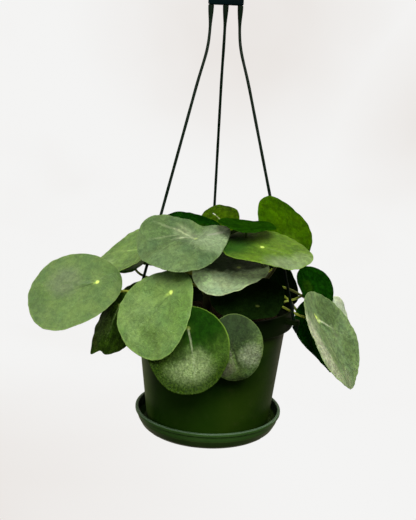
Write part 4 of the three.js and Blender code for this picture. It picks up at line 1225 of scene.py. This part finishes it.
class Blade:
    """The middle surface of one blade."""

    def __init__(self, number, row):
        at, length, look, turn, self.shape, self.bend, _, _, tone = row
        self.at = Vector(at)
        self.half = length / 2
        self.normal, self.tipward, self.across = blade_axes(look, turn)
        self.phase = number * RIPPLE_STEP
        self.drift = Vector((number * 31.7, number * 17.3, 0))
        self.quilt = min(DEEPEST_QUILT, TONES[tone]["quilt"])
        self.folds = FOLDS.get(number, ())
        self.corners = CORNERS.get(number, ())

    def flat(self, rho, angle):
        """The place of a point on the flattened blade, in millimetres."""
        aspect, offset, narrowing = self.shape
        reach = rho * self.half * (offset + math.cos(angle))
        side = rho * math.sin(angle) * (1 + narrowing * math.cos(angle))
        return reach, side * self.half * aspect

    def point(self, rho, angle, fine=True):
        aspect, offset, _ = self.shape
        tip, base, left, right = self.bend
        reach, sideways = self.flat(rho, angle)
        side = sideways / (self.half * aspect)
        end = reach / (self.half * (1 + offset if reach > 0 else 1 - offset))
        lift = (tip if reach > 0 else base) * end * end
        lift += (right if side > 0 else left) * side * side
        lift += EDGE_RIPPLE * rho ** 3 * math.sin(RIPPLE_WAVES * angle + self.phase)
        if fine:
            lift += self.relief(rho, reach, sideways)
        return self.at + self.tipward * reach + self.across * sideways + self.normal * lift

    def relief(self, rho, reach, sideways):
        """The dimple over the petiole, the puckers, the folds and the slightly rolled edge."""
        spot = Vector((reach, sideways, 0))
        place = spot + self.drift
        dimple = -DIMPLE * math.exp(-((spot.length / DIMPLE_REACH) ** 2))
        pucker = self.quilt * layered(place, PUCKERS) * PUCKER_HEIGHT
        ripple = noise.noise(place * 0.16 + UP * 9) * smoothstep(0.6, 1.0, rho) * RIPPLE_HEIGHT
        roll = -EDGE_ROLL * smoothstep(0.88, 1.0, rho)
        lift = dimple + (pucker + ripple) * smoothstep(0.05, 0.3, rho) + roll
        for x0, y0, x1, y1, width, height in self.folds:
            start, run = Vector((x0, y0, 0)), Vector((x1 - x0, y1 - y0, 0))
            share = min(1.0, max(0.0, (spot - start).dot(run) / run.length_squared))
            away = (spot - start - run * share).length
            fade = smoothstep(0.0, 0.15, share + 0.05) * (1 - 0.6 * share)
            lift += height * fade * math.exp(-((away / width) ** 2))
        return lift

    def notched(self, angle):
        """How far out the edge lies, as a share of its outline, with small nicks and waves."""
        turn = Vector((math.cos(angle), math.sin(angle), 0.0))
        wave = max(-1.0, min(0.68, layered(turn, NICKS, self.drift)))
        edge = EDGE_MIDDLE + NICK_DEPTH * wave
        for middle, width, reach in self.corners:
            edge += reach * math.exp(-(((angle - middle) / width) ** 2))
        return edge

    def upper(self):
        """The blade's direction at the petiole, from a ring round it."""
        total = Vector()
        ring = [self.point(0.36, TAU * i / 18, False) for i in range(18)]
        for one, two in zip(ring, ring[1:] + ring[:1]):
            total += (two - self.at).cross(one - self.at)
        return total.normalized()


def petiole_path(blade, start, radius, azimuth, arch, droop):
    """From a stem of that radius, outward and up, to just under the blade."""
    out = polar(1, azimuth)
    upper = blade.upper()
    span = (blade.at - start).length
    slope = arch / math.hypot(arch, PETIOLE_START_PULL * span)
    start = start + out * (radius + PETIOLE_GAP + PETIOLE_BASE_RADIUS * abs(slope))
    arrival = (upper - UP * droop).normalized()
    tilt = math.sqrt(max(0.0, 1 - arrival.dot(upper) ** 2))
    sunk = max(0.0, PETIOLE_TOP_RADIUS * tilt - BLADE_THICKNESS / 3)
    sagged = max(0.0, -DIMPLE - blade.relief(0, 0, 0))
    end = blade.at - upper * (sunk + sagged + PETIOLE_COVER)
    leave = start + out * PETIOLE_START_PULL * span + UP * arch
    arrive = end - arrival * PETIOLE_END_PULL * span
    return bezier(start, leave, arrive, end, 36)


def petiole_radius(share, centre):
    """A petiole's radius along its path, a little slimmer than its solid."""
    narrowed = (PETIOLE_TOP_RADIUS - PETIOLE_BASE_RADIUS) * smoothstep(0.0, 0.3, share)
    flare = PETIOLE_FLARE * smoothstep(0.93, 1.0, share)
    return PETIOLE_BASE_RADIUS + narrowed - PETIOLE_SLIMMER + flare


def make_leaf(number, row, materials):
    blade = Blade(number, row)
    stem_name, height, azimuth = row[6]
    stem = STEMS["stem_" + stem_name]
    angles = [TAU * i / SEGMENTS for i in range(SEGMENTS)]
    edges = [blade.notched(angle) for angle in angles]
    points = [blade.point(0, 0)]
    flats = [(0.0, 0.0)]
    rhos = [0.0]
    for rho in RINGS:
        for angle, edge in zip(angles, edges):
            share = rho * (1 + (edge - 1) * rho ** 4)
            points.append(blade.point(share, angle))
            flats.append(blade.flat(share, angle))
            rhos.append(rho)
    sheet = Sheet()
    normals = surface_normals(points)
    thin = [BLADE_THICKNESS / 2 * (1 - EDGE_THINNING * smoothstep(0.5, 1.0, rho)) for rho in rhos]
    top = sheet.add_points(p + n * t for p, n, t in zip(points, normals, thin))
    under = sheet.add_points(p - n * t for p, n, t in zip(points, normals, thin))
    for a, b, c in blade_faces():
        sheet.add_face((top + a, top + b, top + c), 0)
        sheet.add_face((under + a, under + c, under + b), 1)
    edge = 1 + (len(RINGS) - 1) * SEGMENTS
    ends = zip(points[edge:], points[edge - SEGMENTS:edge])
    rim = sheet.add_points(outer + (outer - inner).normalized() * EDGE_REACH for outer, inner in ends)
    sheet.join_rings(rim, under + edge, SEGMENTS, 1)
    sheet.join_rings(top + edge, rim, SEGMENTS, 0)
    sideways = (blade.at - stem_place(stem, height)[0]).cross(UP).normalized()
    path = petiole_path(blade, *stem_place(stem, height), azimuth, *row[7])
    bare = len(sheet.points)
    tube(sheet, path, petiole_radius, PETIOLE_SIDES, sideways, 2)
    extra = len(sheet.points) - bare
    rhos = rhos + rhos + [1.0] * SEGMENTS + [0.5] * extra
    flats = flats + flats + flats[edge:] + [PETIOLE_FLAT] * extra
    piece = make_object(f"foliage_{number:02d}", sheet, materials)
    mesh = piece.data
    mesh.attributes.new("rho", "FLOAT", "POINT").data.foreach_set("value", rhos)
    own = mesh.uv_layers.new(name="blade")
    shared = mesh.uv_layers.new(name="patch")
    for loop in mesh.loops:
        x, y = flats[loop.vertex_index]
        own.data[loop.index].uv = (x, y)
        shared.data[loop.index].uv = (x + blade.drift.x, y + blade.drift.y)
    stand_for(piece, f"leaf_{number:02d}")


def blade_faces():
    faces = []
    for i in range(SEGMENTS):
        j = (i + 1) % SEGMENTS
        faces.append((0, 1 + j, 1 + i))
        for ring in range(1, len(RINGS)):
            low = 1 + (ring - 1) * SEGMENTS
            high = low + SEGMENTS
            faces.append((low + i, high + j, high + i))
            faces.append((low + i, low + j, high + j))
    return faces


def surface_normals(points):
    normals = [Vector() for _ in points]
    for a, b, c in blade_faces():
        area = (points[b] - points[a]).cross(points[c] - points[a])
        for corner in (a, b, c):
            normals[corner] += area
    return [normal.normalized() for normal in normals]


def make_leaves():
    bright = petiole_material("petiole", (0.24, 0.31, 0.02), (0.46, 0.56, 0.07))
    # A darker copy, painted shade for petioles that lie in shade.
    shaded = petiole_material("petiole_shaded", (0.02, 0.05, 0.003), (0.05, 0.10, 0.008))
    materials = {}
    for tone in TONES:
        petiole = shaded if tone in SHADED_PETIOLES else bright
        materials[tone] = [blade_material(tone, True), blade_material(tone, False), petiole]
    for number, row in enumerate(LEAVES, 1):
        make_leaf(number, row, materials[row[-1]])


# The camera, the light and the pale surroundings.
def make_camera():
    pitch, yaw, roll = radians(CAMERA_PITCH, CAMERA_YAW, CAMERA_ROLL)
    ahead = Vector((math.sin(yaw) * math.cos(pitch), math.cos(yaw) * math.cos(pitch), -math.sin(pitch)))
    level = Vector((math.cos(yaw), -math.sin(yaw), 0))
    above = level.cross(ahead)
    right = level * math.cos(roll) + above * math.sin(roll)
    up = above * math.cos(roll) - level * math.sin(roll)
    data = bpy.data.cameras.new("camera")
    data.sensor_fit = "VERTICAL"
    data.sensor_height = SENSOR_HEIGHT
    data.lens = FOCAL_PIXELS / FRAME_HEIGHT_PIXELS * SENSOR_HEIGHT
    camera = add_object("camera", data)
    matrix = Matrix((right, up, -ahead)).transposed().to_4x4()
    matrix.translation = (Vector(CAMERA_AT) - UP * HOOK_SEAT) / 1000
    camera.matrix_world = matrix
    bpy.context.scene.camera = camera


# The surroundings, in metres below the hook's bearing point. Each light has its place, its
# size, its power and its colour, and each spot of shade its middle and its reach.
FLOOR_DEPTH = 1.4
ROOM_RADIUS = 7.0
SWEEP_RADIUS = 2.5
DOME_HEIGHT = 0.6 * ROOM_RADIUS
PALE = (0.905, 0.903, 0.896)
SHADED = (0.805, 0.765, 0.735)
SHADE_SPOTS = (((0.2, 7.0, 0.7), 1.8), ((2.2, 6.6, -0.3), 1.4), ((-1.1, 1.5, -1.4), 1.6))
AMBIENT_ABOVE = (0.22, 0.22, 0.19)
AMBIENT_BELOW = (0.04, 0.04, 0.03)
AMBIENT_BEHIND = (0.42, 0.40, 0.28)
LIT_POINT = Vector((0, 0, -0.28))
LIGHTS = {
    "key": ((0.16, -1.26, 0.74), 0.8, 33.0, (1.0, 0.99, 0.90)),
    "left_fill": ((-1.3, -0.2, 0.35), 1.0, 6.0, (1.0, 0.99, 0.90)),
    "right_fill": ((1.3, 0.1, 0.2), 1.0, 4.0, (1.0, 0.94, 0.78)),
}


def make_light(name, at, size, power, colour):
    data = bpy.data.lights.new(name, "AREA")
    data.size = size
    data.energy = power
    data.color = colour
    facing = (LIT_POINT - Vector(at)).to_track_quat("-Z", "Y").to_matrix().to_4x4()
    add_object(name, data).matrix_world = Matrix.Translation(at) @ facing


def studio_material():
    """A pale surface with faint soft clouds of shade."""
    shader = new_material("studio")
    place = shader.place()
    clouds = shader.noise(place, 1.1)
    shadow = 0.0
    for spot, span in SHADE_SPOTS:
        near = shader.band(shader.distance(place, spot), 0.0, span, 1.0, 0.0)
        shadow = shader.math("MAXIMUM", shadow, near)
    shadow = shader.times(shadow, shader.band(clouds, 0.3, 0.6, 0.75, 1.0))
    shadow = shader.plus(shadow, shader.band(clouds, 0.5, 0.9, 0.0, 0.2), clamp=True)
    shader.set(Base_Color=(0, 0, 0), Specular_IOR_Level=0.0, Roughness=1.0)
    shader.set(Emission_Color=shader.mix(shadow, PALE, SHADED), Emission_Strength=1.0)
    return shader.owner


def make_studio():
    """A pale floor that sweeps up into a pale wall and dome, and sheds no light."""
    foot = ROOM_RADIUS - SWEEP_RADIUS
    wall = -FLOOR_DEPTH + SWEEP_RADIUS
    profile = [(0, -FLOOR_DEPTH), (foot, -FLOOR_DEPTH)]
    profile += [(foot + SWEEP_RADIUS * math.sin(a), -FLOOR_DEPTH + SWEEP_RADIUS * (1 - math.cos(a)))
                for a in radians(*range(5, 91, 5))]
    profile += [(ROOM_RADIUS * math.cos(a), wall + DOME_HEIGHT * math.sin(a))
                for a in radians(*range(5, 86, 5))]
    sheet = Sheet()
    lathe(sheet, profile + [(0, wall + DOME_HEIGHT)], 64)
    mesh = bpy.data.meshes.new("studio")
    mesh.from_pydata([tuple(point) for point in sheet.points], [], sheet.faces)
    mesh.materials.append(studio_material())
    studio = add_object("studio", mesh)
    shade(studio)
    for ray in ("diffuse", "glossy", "transmission", "shadow"):
        setattr(studio, f"visible_{ray}", False)


def make_surroundings():
    """The studio, light from the sky that is strongest above and behind, and three lamps."""
    scene = bpy.context.scene
    scene.view_settings.view_transform = "Standard"
    make_studio()
    scene.world = bpy.data.worlds.new("ambient")
    sky = Shader(scene.world, "Background")
    toward = sky.parts(sky.node("TexCoord", output="Generated"))
    light = AMBIENT_BELOW
    for axis, low, high, colour in ((2, -0.5, 0.8, AMBIENT_ABOVE), (1, 0.1, 0.9, AMBIENT_BEHIND)):
        light = sky.mix(sky.band(toward[axis], low, high, kind="LINEAR"), light, colour)
    sky.set(Color=light)
    for name, row in LIGHTS.items():
        make_light(name, *row)


make_camera()
make_pot(plastic_material(
    "pot_plastic", (0.006, 0.027, 0.0007), (0.015, 0.046, 0.0024), (0.36, 0.48), 0.09, 0.04, 0.25,
    pot_painted_light))
make_saucer(plastic_material(
    "saucer_plastic", (0.024, 0.075, 0.010), (0.045, 0.105, 0.022), (0.30, 0.42), 0.20, 0.05, 0.25,
    saucer_painted_light))
make_soil(soil_material(), perlite_material())
bark = bark_material()
for stem_name in STEMS:
    make_stem(stem_name, bark)
strand_plastic = plastic_material(
    "strand_plastic", (0.001, 0.006, 0.002), (0.004, 0.011, 0.006), (0.38, 0.50), 0.06, 0.01, 0.05)
for strand_name in STRAND_AZIMUTHS:
    make_strand(strand_name, strand_plastic)
make_hub(plastic_material(
    "hanger_plastic", (0.0003, 0.003, 0.004), (0.001, 0.007, 0.008), (0.38, 0.50), 0.02, 0.01, 0.05))
make_leaves()
make_surroundings()
